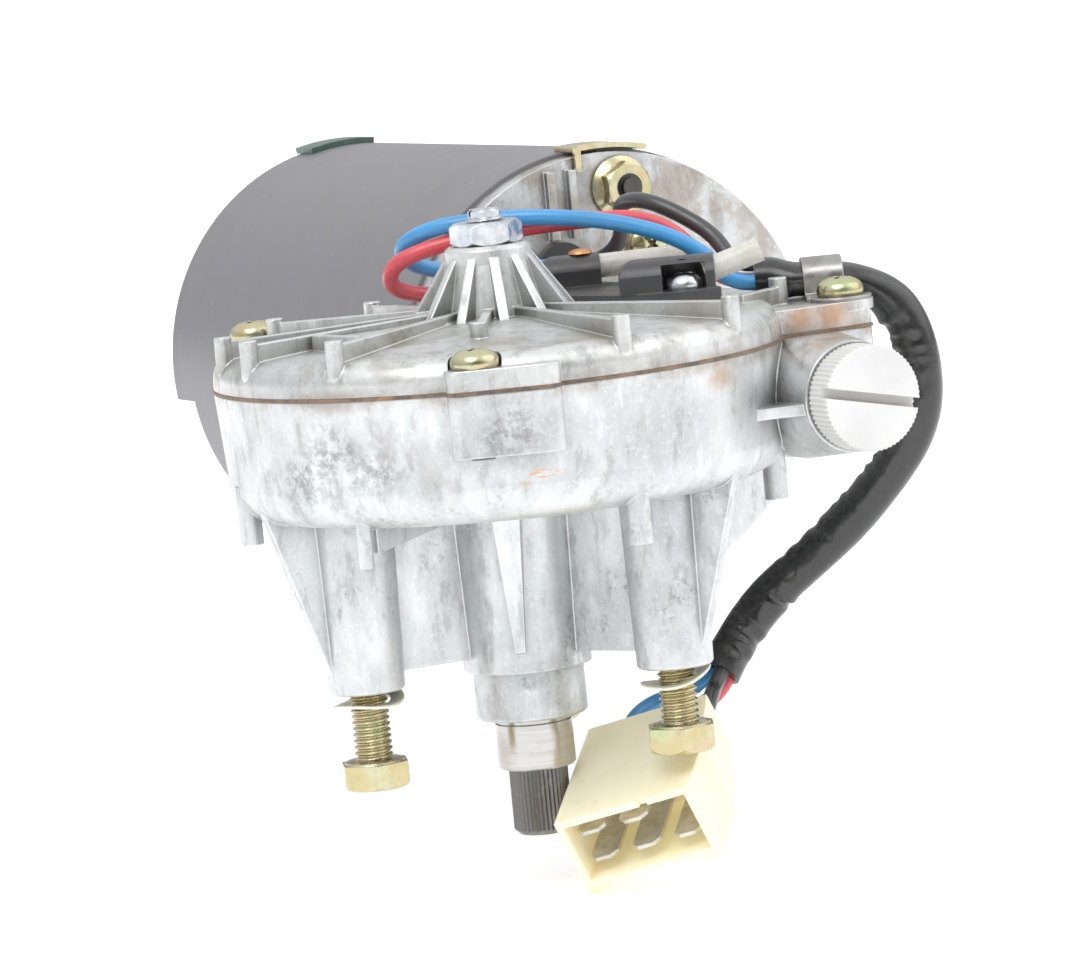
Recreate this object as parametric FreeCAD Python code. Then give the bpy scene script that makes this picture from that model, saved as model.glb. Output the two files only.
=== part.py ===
"""Two-speed worm-gear wiper motor with its park switch, cable and plug.

Millimetres. +Z is the output shaft's axis, with the gear cover on top and the shaft below. The origin
is on that axis, in the plane of the mounting bosses' faces. The motor axis is parallel to Y at MOTOR_X,
MOTOR_Z, and the motor's rear end is at +Y.
"""

import FreeCAD, Part
import math
import os

V = FreeCAD.Vector
X, Y, Z = V(1, 0, 0), V(0, 1, 0), V(0, 0, 1)

# Axes and joint planes
MOTOR_X = 55.0
MOTOR_Z = 50.8
JOINT_Z = 62.7
GASKET_T = 0.6
HOUSING_TOP = JOINT_Z - GASKET_T / 2
COVER_BOTTOM = JOINT_Z + GASKET_T / 2

# Worm gear
MODULE = 1.5
WHEEL_TEETH = 64
PRESSURE_ANGLE = 20.0
WORM_PITCH_R = 7.0
WHEEL_PITCH_R = MODULE * WHEEL_TEETH / 2
LEAD = math.pi * MODULE
WORM_TURNS = 7
WORM_TIP_R = WORM_PITCH_R + MODULE
WORM_ROOT_R = 5.1
WHEEL_TIP_R = WHEEL_PITCH_R + 0.9 * MODULE
WHEEL_ROOT_R = WHEEL_PITCH_R - 1.25 * MODULE
WHEEL_FACE = 10.0
FLANK_GAP = 0.16

# Gear housing
CUP_R = 58.5
CUP_FOOT_R = 57.2
CUP_BOTTOM = 36.0
CAVITY_R = 53.0
CAVITY_FLOOR = 38.7
WORM_BORE_R = 9.4
LUG_X = 71.6
LUG_Y = -30.5
FLANGE_Y = 58.5
FLANGE_T = 5.5
FLANGE_R = 48.3
BOSS_PCD = 72.5
BOSS_ANGLES = (60, 180, 300)
BOSS_FACE_R = 7.8
BOSS_ROOT_R = 8.5
HUB_BOTTOM = 0.0
SPIGOT_R = 11.5
SPIGOT_BOTTOM = -10.4
PLUG_TUBE_R = 11.3
PLUG_TUBE_Y = -49.5

# Cover
COVER_TOP = 72.6
PLATE_TOP = 68.1
TOWER_TOP = 87.0
SCREW_SPOTS = ((-27.9, -49.4), (-34.7, 45.2), (67.3, -24.3), (66.0, 49.5), (18.5, 53.0))
COVER_SEATS = (67.2, 70.0, PLATE_TOP, PLATE_TOP, 70.2)
CLAMP_T = 0.9
CLAMP_SPOT = (69.8, -12.3, 73.05)
SCREW_SEATS = (67.2, 70.0, PLATE_TOP + CLAMP_T, PLATE_TOP, 70.2)

# Motor
CAN_R = 49.2
CAN_WALL = 2.8
CAN_START = FLANGE_Y + FLANGE_T
CAN_END = 197.0
BOLT_CIRCLE = 40.5
BOLT_ANGLES = (83, 263)
PLATE_CIRCLE = 29.0
PLATE_ANGLES = (70, 190, 310)
STACK_Y = (104.0, 164.0)
STACK_R = 36.8
SLOTS = 14
COMMUTATOR_R = 15.0
COMMUTATOR_Y = (75.5, 93.0)

# Output shaft
SHAFT_R = 8.0
SERRATION_R = 6.1
SERRATION_TOP = -21.1
SHAFT_END = -35.0
SHAFT_TOP = 68.6
PIVOT_R = 6.0

# Cable and plug
SLEEVE_R = 4.7
WIRE_R = 1.7
GROMMET_X = 44.0
GROMMET_Z = 74.5
GROMMET_R = 5.0
SLEEVE_ROUTE = (
    (57.0, -6.5, 73.8),
    (64.5, -9.9, 73.5),
    (76.4, -15.4, 72.5),
    (83.9, -19.2, 64.6),
    (87.1, -20.9, 52.6),
    (85.6, -20.2, 40.2),
    (78.9, -14.6, 28.0),
    (69.5, -4.6, 15.5),
    (56.5, 8.8, 1.6),
    (46.8, 6.2, -9.6),
)
LEAD_BLUE = (
    (42.0, 56.7, 75.6),
    (42.0, 51.5, 75.6),
    (36.0, 46.8, 76.6),
    (24.0, 44.0, 77.8),
    (10.0, 40.0, 78.8),
    (-1.0, 36.5, 81.5),
    (-6.0, 31.5, 86.0),
    (-3.0, 24.0, 89.5),
    (4.0, 18.0, 90.8),
    (16.0, 11.0, 90.6),
    (30.0, 5.5, 88.3),
    (40.5, -0.5, 84.5),
    (47.8, -4.8, 79.0),
    (51.51, -6.39, 72.73),
    (56.06, -8.45, 72.55),
)
LEAD_RED = (
    (44.0, 56.7, 72.2),
    (44.0, 51.5, 72.2),
    (36.5, 47.4, 72.0),
    (22.6, 45.0, 73.2),
    (2.8, 38.5, 74.6),
    (-7.3, 33.0, 77.4),
    (-9.8, 28.8, 81.4),
    (-7.5, 24.5, 84.6),
    (1.1, 20.5, 86.8),
    (14.4, 16.0, 88.0),
    (27.0, 11.6, 88.4),
    (38.8, 7.2, 88.0),
    (46.2, 4.4, 83.4),
    (49.2, 1.2, 77.6),
    (53.3, -2.45, 72.73),
    (57.85, -4.51, 72.55),
)
LEAD_BLACK = (
    (46.0, 56.7, 75.6),
    (46.0, 51.5, 75.6),
    (49.4, 45.0, 77.6),
    (49.0, 37.0, 82.0),
    (45.0, 29.5, 87.0),
    (42.5, 22.0, 90.6),
    (44.0, 14.5, 90.8),
    (48.6, 8.2, 87.4),
    (53.0, 1.4, 82.4),
    (53.26, -4.81, 76.45),
    (57.08, -6.54, 76.3),
)
TAIL_BLUE = (
    (45.34, 8.05, -8.77),
    (42.12, 7.19, -12.49),
    (35.5, 13.8, -14.4),
    (27.54, 10.93, -16.89),
    (22.1, 4.64, -20.34),
)
TAIL_RED = (
    (48.6, 6.68, -11.27),
    (46.02, 5.99, -14.25),
    (39.8, 6.8, -16.4),
    (33.95, 4.14, -14.65),
    (28.51, -2.14, -18.1),
)
TAIL_BLACK = (
    (46.46, 3.87, -8.77),
    (43.75, 3.14, -11.9),
    (39.63, -3.2, -12.84),
    (34.79, -8.78, -15.9),
)
PLUG_SIZE = (30.4, 36.0, 17.9)
PLUG_CORNER = V(16.1, 8.0, -17.0)
PLUG_TURN = FreeCAD.Rotation(-46.6, -13.5, 23.2)
PLUG_BACK = (27.5, 14.4)
PLUG_WALL = 1.5
PLUG_CAVITY = 22.0
BLADE_COLUMNS = (-9.6, 0.0, 9.6)
BLADE_ROWS = (3.3, -3.3)
BLADE_TIP = 1.8

# Park switch
SWITCH_SCREW = (36.3, -15.2)
SWITCH_TOP = 73.8
FINGER_SPOTS = ((30, 4), (27, 0))
RIVET_SPOT = (33.0, 25.4)

# Brush gear
BRUSH_ANGLES = (20, 140, 255)
BRUSH_Y = 82.0
SLOT_TILT = -12.5
NOTCH_TURN = 180

RUN_CLEARANCE = 0.05


# Basic shapes ----------------------------------------------------------------------------------


def disc(radius, z0, z1, x=0.0, y=0.0):
    """A cylinder along Z."""
    return Part.makeCylinder(radius, z1 - z0, V(x, y, z0), Z)


def barrel(radius, y0, y1, x=MOTOR_X, z=MOTOR_Z):
    """A cylinder along Y, on the motor axis unless told otherwise."""
    return Part.makeCylinder(radius, y1 - y0, V(x, y0, z), Y)


def block(x0, x1, y0, y1, z0, z1):
    return Part.makeBox(x1 - x0, y1 - y0, z1 - z0, V(x0, y0, z0))


def outline(items):
    """A closed wire in the XZ plane. An item is a point, or a pair of points: through, then to."""
    first = last = V(items[0][0], 0, items[0][1])
    edges = []
    for item in list(items[1:]) + [items[0]]:
        if isinstance(item[0], tuple):
            middle, end = (V(p[0], 0, p[1]) for p in item)
            edges.append(Part.Arc(last, middle, end).toShape())
        else:
            end = V(item[0], 0, item[1])
            edges.append(Part.makeLine(last, end))
        last = end
    assert last == first
    return Part.Wire(edges)


def turned(items):
    """A turned solid about Z from an outline of (radius, height)."""
    return Part.Face(outline(items)).revolve(V(0, 0, 0), Z, 360)


def along_motor(shape):
    """Move a shape made about Z so that its Z lies along the motor axis."""
    placed = shape.copy()
    placed.rotate(V(0, 0, 0), X, -90)
    placed.translate(V(MOTOR_X, 0, MOTOR_Z))
    return placed


def turned_on_motor(items):
    """A turned solid about the motor axis from an outline of (radius, y)."""
    return along_motor(turned(items))


def rib(points, thickness, angle):
    """An upright plate: an outline of (radius, z) in the radial plane at an angle about Z."""
    face = Part.Face(outline(points))
    plate = face.extrude(V(0, thickness, 0))
    plate.translate(V(0, -thickness / 2, 0))
    plate.rotate(V(0, 0, 0), Z, angle)
    return plate


def polygon_prism(points, z0, z1):
    """A prism along Z on an XY outline."""
    wire = Part.makePolygon([V(x, y, z0) for x, y in points] + [V(points[0][0], points[0][1], z0)])
    return Part.Face(wire).extrude(V(0, 0, z1 - z0))


def hexagon(across, z0, z1):
    radius = across / math.sqrt(3)
    corners = [polar(radius, 60 * i + 30) for i in range(6)]
    return polygon_prism(corners, z0, z1)


def star(count, tip_r, root_r, z0, z1):
    """A prism with fine triangular teeth round it."""
    corners = []
    for i in range(count):
        corners.append(polar(tip_r, 360 * i / count))
        corners.append(polar(root_r, 360 * (i + 0.5) / count))
    return polygon_prism(corners, z0, z1)


def polar(radius, angle):
    return radius * math.cos(math.radians(angle)), radius * math.sin(math.radians(angle))


def about_motor(radius, angle):
    """X and Z of a place at a radius and an angle about the motor axis."""
    dx, dz = polar(radius, angle)
    return MOTOR_X + dx, MOTOR_Z + dz


def tidy(shape):
    """Merge faces that lie on one surface, where the result stays sound."""
    merged = shape.removeSplitter()
    return merged if merged.isValid() else shape


def join(first, *others):
    return tidy(first.fuse(list(others))) if others else first


def cut(solid, *tools):
    for tool in tools:
        solid = solid.cut(tool)
    return tidy(solid)


def moved(shape, offset, axis=None, angle=0.0):
    copy = shape.copy()
    if axis is not None:
        copy.rotate(V(0, 0, 0), axis, angle)
    copy.translate(offset)
    return copy


def save(name, *shapes):
    """Write one node. Loose pieces of the same kind stay separate solids in it."""
    solids = [solid for shape in shapes for solid in shape.Solids]
    for solid in solids:
        if not solid.isValid():
            print("invalid solid in", name)
    shape = solids[0] if len(solids) == 1 else Part.makeCompound(solids)
    shape.exportStep(os.path.join("parts", name + ".step"))
    box = shape.BoundBox
    print(f"{name}: {len(solids)} solid, {shape.Volume:.0f} mm3, z {box.ZMin:.1f} to {box.ZMax:.1f}")


# Threads and fasteners -------------------------------------------------------------------------


def threaded_rod(radius, pitch, z0, z1, depth=0.6):
    """A rod with V grooves at the thread's pitch."""
    items = [(0, z0), (radius - depth, z0)]
    z = z0 + 0.2
    while z + pitch < z1:
        items += [(radius, z + pitch * 0.45), (radius, z + pitch * 0.55), (radius - depth, z + pitch)]
        z += pitch
    items += [(radius - depth, z1), (0, z1)]
    return turned(items)


def pan_head_screw(head_r, head_h, shank_r, shank_length):
    """A Phillips pan-head screw whose seat is at z = 0 and whose head is above."""
    head = turned(
        [
            (0, 0),
            (head_r, 0),
            ((head_r + 0.15, head_h * 0.35), (head_r - 0.35, head_h * 0.7)),
            ((head_r * 0.65, head_h * 0.95), (0, head_h)),
        ]
    )
    shank = disc(shank_r, -shank_length, 0.5)
    slot = block(-head_r * 0.52, head_r * 0.52, -0.5, 0.5, head_h * 0.35, head_h + 1)
    cross = [moved(slot, V(0, 0, 0), Z, turn) for turn in (45, 135)]
    return cut(join(head, shank), *cross)


def hex_head(across, height):
    """A chamfered hexagon with its seat at z = 0 and its crown above."""
    corner = across / math.sqrt(3)
    bevel = (corner + 1, height - 1.6)
    crown = turned([(0, -1), (corner + 1, -1), bevel, (across / 2, height), (0, height)])
    return hexagon(across, 0, height).common(crown)


def hex_nut(across, height, hole_r):
    corner = across / math.sqrt(3)
    bevel = turned(
        [
            (0, 0),
            (across / 2, 0),
            (corner + 0.1, 0.9),
            (corner + 0.1, height - 0.9),
            (across / 2, height),
            (0, height),
        ]
    )
    return cut(hexagon(across, 0, height).common(bevel), disc(hole_r, -1, height + 1))


# Gear housing ----------------------------------------------------------------------------------


def front_lug(distance, z0, z1):
    """The square screw lug at the front of the joint."""
    lug = block(-11.3, 11.3, 40, distance, z0, z1)
    corners = [e for e in lug.Edges if abs(e.BoundBox.ZLength - (z1 - z0)) < 0.01 and e.BoundBox.YMin > 50]
    lug = lug.makeFillet(3.0, corners)
    lug.rotate(V(0, 0, 0), Z, 155.8)
    return lug


def joint_lugs(z0, z1, grow):
    """The worm side of the joint and its three outer lugs, as a slab."""
    lugs = [disc(6.5 + grow, z0, z1, *SCREW_SPOTS[i]) for i in (1, 4)]
    arm = block(0, LUG_X + grow, LUG_Y - grow, FLANGE_Y - 0.5, z0, z1)
    corners = [e for e in arm.Edges if abs(e.BoundBox.ZLength - (z1 - z0)) < 0.01 and e.BoundBox.XMin > 50]
    arm = arm.makeFillet(2.5, corners)
    slab = join(arm, front_lug(61.5 + grow, z0, z1), *lugs)
    return slab.common(block(-80, 80, -80, FLANGE_Y - 0.5, z0, z1))


def joint_plan(z0, z1, grow):
    """The outline that housing, gasket and cover share, as a slab."""
    return join(disc(CUP_R + grow, z0, z1), joint_lugs(z0, z1, grow))


def boss_places():
    return [polar(BOSS_PCD / 2, angle) for angle in BOSS_ANGLES]


def housing_outside():
    cup = turned(
        [
            (0, CUP_BOTTOM),
            (CUP_FOOT_R - 8, CUP_BOTTOM),
            ((CUP_FOOT_R - 2.34, CUP_BOTTOM + 2.34), (CUP_FOOT_R, CUP_BOTTOM + 8)),
            (CUP_R, HOUSING_TOP),
            (0, HOUSING_TOP),
        ]
    )
    rim = joint_lugs(HOUSING_TOP - 5.4, HOUSING_TOP, 0)
    screw_post = front_lug(61.5, 50, HOUSING_TOP)
    left_post = disc(6.3, 48, HOUSING_TOP, *SCREW_SPOTS[1])
    worm_tube = turned_on_motor(
        [(0, PLUG_TUBE_Y), (PLUG_TUBE_R, PLUG_TUBE_Y), (13.6, LUG_Y), (15.2, FLANGE_Y), (0, FLANGE_Y)]
    ).common(block(0, 110, -60, 70, 0, HOUSING_TOP))
    worm_wall = block(40, 68, LUG_Y + 2, FLANGE_Y, MOTOR_Z, HOUSING_TOP)
    web = polygon_prism([(30, -45.5), (47, -49.3), (52, -30), (30, -20)], 48.4, 50.6)
    hub = turned(
        [
            (0, HUB_BOTTOM),
            (13.3, HUB_BOTTOM),
            (13.3, HUB_BOTTOM + 2),
            (14.3, CUP_BOTTOM + 1),
            (0, CUP_BOTTOM + 1),
        ]
    )
    spigot = turned(
        [
            (0, SPIGOT_BOTTOM),
            (SPIGOT_R - 0.5, SPIGOT_BOTTOM),
            (SPIGOT_R, SPIGOT_BOTTOM + 0.5),
            (SPIGOT_R, 0.5),
            (0, 0.5),
        ]
    )
    flange = join(
        barrel(FLANGE_R, FLANGE_Y, CAN_START),
        barrel(CAN_R - CAN_WALL - 0.1, CAN_START - 1, CAN_START + 4),
        barrel(21, CAN_START, CAN_START + 7),
    )
    return join(cup, rim, screw_post, left_post, worm_tube, worm_wall, web, hub, spigot, flange)


def housing_bosses():
    """Mounting bosses with their gussets, webs and hub ribs."""
    pieces = []
    for angle, (x, y) in zip(BOSS_ANGLES, boss_places()):
        post = turned(
            [
                (0, 0),
                (BOSS_FACE_R - 0.4, 0),
                (BOSS_FACE_R, 0.5),
                (BOSS_ROOT_R, CUP_BOTTOM + 2),
                (0, CUP_BOTTOM + 2),
            ]
        )
        pieces.append(moved(post, V(x, y, 0)))
        pieces.append(rib([(38, 44), (57, 44), (43.2, 1.2), (38, 1.2)], 2.4, angle))
        pieces.append(rib([(12, 38), (32, 38), (32, 3.0), (12, 3.0)], 2.6, angle))
        pieces.append(hub_rib(angle + 60))
    for angle in (-149, 91, 31):
        pieces.append(rib([(12, 37.5), (50, 37.5), (50, 31), (16, 34)], 2.2, angle))
    return pieces


def hub_rib(angle):
    """A rib on the hub that narrows downwards to a rounded tip."""
    side = rib([(12, 38), (19.5, 38), (14.8, 4.5), (12, 3.5)], 7, 0)
    front = Part.Face(outline([(-3.3, 40), (3.3, 40), (1.1, 4.3), ((0, 3.2), (-1.1, 4.3))]))
    front = moved(front.extrude(V(0, 10, 0)), V(0, 0, 0), Z, -90)
    return moved(side.common(moved(front, V(11, 0, 0))), V(0, 0, 0), Z, angle)


def housing_pegs():
    """Short ejector pegs under the cup's rim."""
    spots = (
        (2.4, 55.2, 171, 32.0),
        (1.5, 52.8, -149, 28.6),
        (2.4, 52.8, -87, 28.6),
        (2.4, 54.5, -34.5, 30.2),
        (2.4, 54.0, 110, 31.0),
    )
    return [disc(thick, foot, CUP_BOTTOM + 8, *polar(r, angle)) for thick, r, angle, foot in spots]


def housing_flange_ribs():
    """Ribs on the flange's face and the gussets that tie it to the worm tube."""
    ribs = [block(x, x + 1.8, FLANGE_Y - 1.8, FLANGE_Y + 1, 81.2, 96.0) for x in (42.0, 47.2)]
    gusset = Part.Face(
        Part.makePolygon([V(0, 22, 38), V(0, FLANGE_Y + 1, 38), V(0, FLANGE_Y + 1, 8), V(0, 22, 38)])
    ).extrude(V(3, 0, 0))
    ribs += [moved(gusset, V(x, 0, 0)) for x in (39.5, 63.0)]
    for angle in PLATE_ANGLES:
        x, z = about_motor(PLATE_CIRCLE, angle)
        ribs.append(barrel(4.2, CAN_START - 1, CAN_START + 7.5, x, z))
    return ribs


def flange_recess():
    """The relief in the flange's motor side, with the brush plate's posts left standing."""
    posts = [barrel(4.2, CAN_START, CAN_START + 5, *about_motor(PLATE_CIRCLE, a)) for a in PLATE_ANGLES]
    return barrel(43, CAN_START, CAN_START + 5).cut([barrel(21, CAN_START, CAN_START + 5)] + posts)


def gear_housing():
    outside = join(housing_outside(), *housing_bosses(), *housing_pegs(), *housing_flange_ribs())
    hollow = [
        disc(CAVITY_R, CAVITY_FLOOR, HOUSING_TOP + 1),
        barrel(WORM_BORE_R, -24, 60.5),
        barrel(8.1, PLUG_TUBE_Y - 1, -20),
        barrel(17.5, 60, CAN_START + 8),
        disc(10.0, SPIGOT_BOTTOM - 1, CAVITY_FLOOR + 1),
        flange_recess(),
    ]
    hollow += [disc(4.05, -1, 28, x, y) for x, y in boss_places()]
    hollow += [disc(2.5, HOUSING_TOP - 13, HOUSING_TOP + 1, x, y) for x, y in SCREW_SPOTS]
    hollow += [barrel(3.2, 50, CAN_START + 8, *about_motor(BOLT_CIRCLE, a)) for a in BOLT_ANGLES]
    hollow += [barrel(2.05, 50, CAN_START + 9, *about_motor(PLATE_CIRCLE, a)) for a in PLATE_ANGLES]
    hollow.append(barrel(GROMMET_R, FLANGE_Y - 3, CAN_START + 8, GROMMET_X, GROMMET_Z))
    return cut(outside, *hollow)


# Gear cover ------------------------------------------------------------------------------------


COVER_RIBS = (
    (169, 56.6),
    (-175.5, 56.6),
    (-149, 56.6),
    (-89, 56.6),
    (-58.6, 56.6),
    (131, 50),
    (98, 47),
    (-120, 36),
)


def cover_ribs():
    """Radial ribs that end in small round pads."""
    pieces = []
    for angle, reach in COVER_RIBS:
        pieces.append(rib([(9, 68), (reach, 67), (reach, 73.4), (9, 74.6)], 1.9, angle))
        x, y = polar(reach, angle)
        foot = 66.0 if reach > 55 else 69.0
        pad = turned([(0, foot - 1.5), (0.7, foot - 1.5), (1.9, foot + 1), (1.8, 74.3), (0, 74.3)])
        pieces.append(moved(pad, V(x, y, 0)))
    tie = polygon_prism([(-43, -5.5), (-40.5, -22.5), (-39, -21.5), (-41.3, -4.5)], 69, 73.8)
    raised = polygon_prism([(-9, -1.5), (-42, -5), (-40, -22), (-9, -7.5)], 69, 72.9)
    fence = polygon_prism([(44, -22.8), (57, -15.6), (57.8, -17.2), (44.8, -24.4)], 66, 71.8)
    fence_pad = disc(1.9, 66, 73.6, 57.3, -16.2)
    return pieces + [tie, raised, fence, fence_pad]


def cover_tower():
    side = [(12, 68), (11.6, 73), (9.0, 83.5), (8.9, 86.2), (8.0, TOWER_TOP)]
    core = turned([(0, 68)] + side + [(0, TOWER_TOP)])
    fin = [(5, 70), (17.6, 70), (17.2, 72.8), (8.8, 85.0), (5, 85.0)]
    fins = [rib(fin, 1.9, 30 * i + 12) for i in range(12)]
    return [core] + fins


def gear_cover():
    dome = turned(
        [
            (0, COVER_BOTTOM),
            (CUP_R, COVER_BOTTOM),
            (CUP_R - 0.2, 65.5),
            ((56.8, 68.6), (53.5, 69.9)),
            (17, COVER_TOP),
            (0, COVER_TOP),
        ]
    )
    skirt = joint_lugs(COVER_BOTTOM, 67.2, 0)
    plate = joint_lugs(COVER_BOTTOM, PLATE_TOP, 0).common(block(20, 80, -40, 80, 60, PLATE_TOP))
    seats = [disc(5.4, 66, COVER_SEATS[i], *SCREW_SPOTS[i]) for i in (1, 4)]
    clamp_seat = disc(6.6, 66, PLATE_TOP, *SCREW_SPOTS[2])
    body = join(dome, skirt, plate, clamp_seat, *seats, *cover_ribs(), *cover_tower())
    floor = COVER_BOTTOM - 1
    inside = turned([(0, floor), (CAVITY_R, floor), (51.5, 66.4), (15, 68.6), (0, 68.6)])
    hollow = [inside, disc(PIVOT_R + RUN_CLEARANCE, 66, 70.5), disc(4.05, 70, TOWER_TOP + 1)]
    hollow += [disc(2.6, 60, 75, x, y) for x, y in SCREW_SPOTS]
    hollow += [disc(5.3, seat, 78, x, y) for (x, y), seat in zip(SCREW_SPOTS, COVER_SEATS)]
    hollow += [disc(1.3, 60, 75, x, y) for x, y in FINGER_SPOTS]
    hollow.append(disc(1.3, 60, 75, *SWITCH_SCREW))
    return cut(body, *hollow)


def cover_gasket():
    slab = joint_plan(HOUSING_TOP, COVER_BOTTOM, 0.25)
    holes = [disc(2.6, 60, 65, x, y) for x, y in SCREW_SPOTS]
    return cut(slab, disc(CAVITY_R, 60, 65), *holes)


def cover_screws():
    screws = []
    for (x, y), seat in zip(SCREW_SPOTS, SCREW_SEATS):
        screw = pan_head_screw(4.7, 3.6, 2.45, seat - HOUSING_TOP + 10)
        screws.append(moved(screw, V(x, y, seat), None))
    return screws


# Output side -----------------------------------------------------------------------------------


def wheel_outline(z, turn):
    """The worm wheel's tooth outline at one height."""
    slope = math.tan(math.radians(PRESSURE_ANGLE))
    half = math.pi * MODULE / 4 - FLANK_GAP / 2
    tip = half - (WHEEL_TIP_R - WHEEL_PITCH_R) * slope
    root = half + (WHEEL_PITCH_R - WHEEL_ROOT_R) * slope
    corners = []
    tooth = ((WHEEL_ROOT_R, -root), (WHEEL_TIP_R, -tip), (WHEEL_TIP_R, tip), (WHEEL_ROOT_R, root))
    for i in range(WHEEL_TEETH):
        centre = turn + 360 * (i + 0.5) / WHEEL_TEETH
        for radius, offset in tooth:
            x, y = polar(radius, centre + math.degrees(offset / radius))
            corners.append(V(x, y, z))
    return Part.makePolygon(corners + [corners[0]])


def worm_wheel():
    twist = math.degrees(WHEEL_FACE / 2 * LEAD / (2 * math.pi * WORM_PITCH_R) / WHEEL_PITCH_R)
    low = wheel_outline(MOTOR_Z - WHEEL_FACE / 2, -twist)
    high = wheel_outline(MOTOR_Z + WHEEL_FACE / 2, twist)
    blank = Part.makeLoft([low, high], True, True)
    recess = turned([(19, 45), (43, 45), (42, 48.6), (20, 48.6)])
    return cut(blank, disc(17.9, 40, 60), recess)


def wheel_hub():
    body = turned(
        [(0, 39.6), (12, 39.6), (12, 44), (22, 44), (22, 45.6), (17.9, 45.6), (17.9, 57.2), (0, 57.2)]
    )
    return cut(body, disc(SHAFT_R, 38, 60))


def output_shaft():
    journal = turned(
        [
            (0, SERRATION_TOP),
            (SHAFT_R - 0.4, SERRATION_TOP),
            (SHAFT_R, SERRATION_TOP + 0.4),
            (SHAFT_R, -11.7),
            (SHAFT_R - 0.3, -11.5),
            (SHAFT_R - 0.3, -10.7),
            (SHAFT_R, -10.5),
            (SHAFT_R, 59.6),
            (PIVOT_R, 59.6),
            (PIVOT_R, SHAFT_TOP - 0.6),
            (PIVOT_R - 0.6, SHAFT_TOP),
            (0, SHAFT_TOP),
        ]
    )
    teeth = star(40, SERRATION_R, SERRATION_R - 0.35, SHAFT_END, SERRATION_TOP + 1)
    bevel = (SERRATION_R + 0.2, SHAFT_END + 1.3)
    end = turned([(0, SHAFT_END), (SERRATION_R - 1.1, SHAFT_END), bevel, (7, -20), (0, -20)])
    groove = disc(9, 57.3, 58.3).cut(disc(7.2, 57.3, 58.3))
    return cut(join(journal, teeth.common(end)), groove)


def contact_disc():
    """The park contact plate on the wheel: a copper ring with one gap."""
    ring = disc(33, 55.8, 56.6).cut(disc(23, 55.8, 56.6))
    return cut(ring, block(25, 40, -4, 4, 55, 58))


def output_bush(z0, z1):
    ring = disc(10.0, z0, z1).cut(disc(SHAFT_R + RUN_CLEARANCE, z0 - 1, z1 + 1))
    rims = [e for e in ring.Edges if hasattr(e.Curve, "Radius") and e.Curve.Radius < 9]
    return ring.makeChamfer(0.3, rims)


def output_seal():
    """A lipped seal in the spigot's mouth."""
    return turned(
        [
            (8.1, SPIGOT_BOTTOM + 1.2),
            (8.9, SPIGOT_BOTTOM),
            (10.0, SPIGOT_BOTTOM),
            (10.0, SPIGOT_BOTTOM + 2.6),
            (9.2, SPIGOT_BOTTOM + 2.6),
            (8.6, SPIGOT_BOTTOM + 1.8),
            (8.1, SPIGOT_BOTTOM + 2.0),
        ]
    )


def thrust_washer():
    return disc(12.0, CAVITY_FLOOR, CAVITY_FLOOR + 0.8).cut(disc(SHAFT_R + 0.2, 38, 41))


def retaining_ring():
    ring = disc(9.8, 57.35, 58.25).cut(disc(7.2, 57, 59))
    return ring.cut(block(5, 11, -2.2, 2.2, 57, 59))


def adjuster_stud():
    """The threaded end-float screw in the cover, with a slot in its top."""
    stud = threaded_rod(3.95, 1.25, SHAFT_TOP + 0.1, 94.3)
    return stud.cut(block(-5, 5, -0.6, 0.6, 92.6, 95))


def lock_nut():
    return moved(hex_nut(13, 4.7, 4.0), V(0, 0, TOWER_TOP), Z, 12)


# Worm and armature -----------------------------------------------------------------------------


def worm_thread():
    """One right-hand thread about Z, centred on z = 0."""
    slope = math.tan(math.radians(PRESSURE_ANGLE))
    half = math.pi * MODULE / 4 - FLANK_GAP
    tip = half - (WORM_TIP_R - WORM_PITCH_R) * slope
    foot_r = WORM_ROOT_R - 0.6
    foot = half + (WORM_PITCH_R - foot_r) * slope
    start = -(WORM_TURNS / 2) * LEAD
    corners = ((foot_r, -foot), (WORM_TIP_R, -tip), (WORM_TIP_R, tip), (foot_r, foot), (foot_r, -foot))
    profile = Part.makePolygon([V(r, 0, h) for r, h in corners])
    helix = Part.makeHelix(LEAD, WORM_TURNS * LEAD, WORM_PITCH_R)
    thread = Part.Wire(helix.Edges).makePipeShell([profile], True, True)
    thread.translate(V(0, 0, start))
    return thread


def armature_shaft():
    core = turned(
        [
            (0, -36.5),
            (4.4, -36.5),
            (4.95, -35.9),
            (4.95, -22.5),
            (WORM_ROOT_R, -22),
            (WORM_ROOT_R, 22),
            (7.0, 24),
            (7.5, 59.8),
            (7.5, 71.2),
            (8.0, 71.2),
            (8.0, 102),
            (8.5, 102),
            (8.5, 166),
            (6.4, 168),
            (5.95, 177),
            (5.95, 188),
            (0, 188),
        ]
    )
    return along_motor(join(core, worm_thread()))


def slot_cuts(grow, y0, y1):
    """Rotor slots about Z: a narrow mouth over a round pocket."""
    cuts = []
    for i in range(SLOTS):
        pocket = disc(4.3 + grow, y0, y1, 28.5, 0)
        mouth = block(30, 40, -1.4 - grow, 1.4 + grow, y0, y1)
        cuts.append(moved(join(pocket, mouth), V(0, 0, 0), Z, 360 * i / SLOTS))
    return cuts


def lamination_stack():
    stack = disc(STACK_R, STACK_Y[0], STACK_Y[1]).cut(disc(8.5, STACK_Y[0] - 1, STACK_Y[1] + 1))
    return along_motor(cut(stack, *slot_cuts(0, STACK_Y[0] - 1, STACK_Y[1] + 1)))


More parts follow.
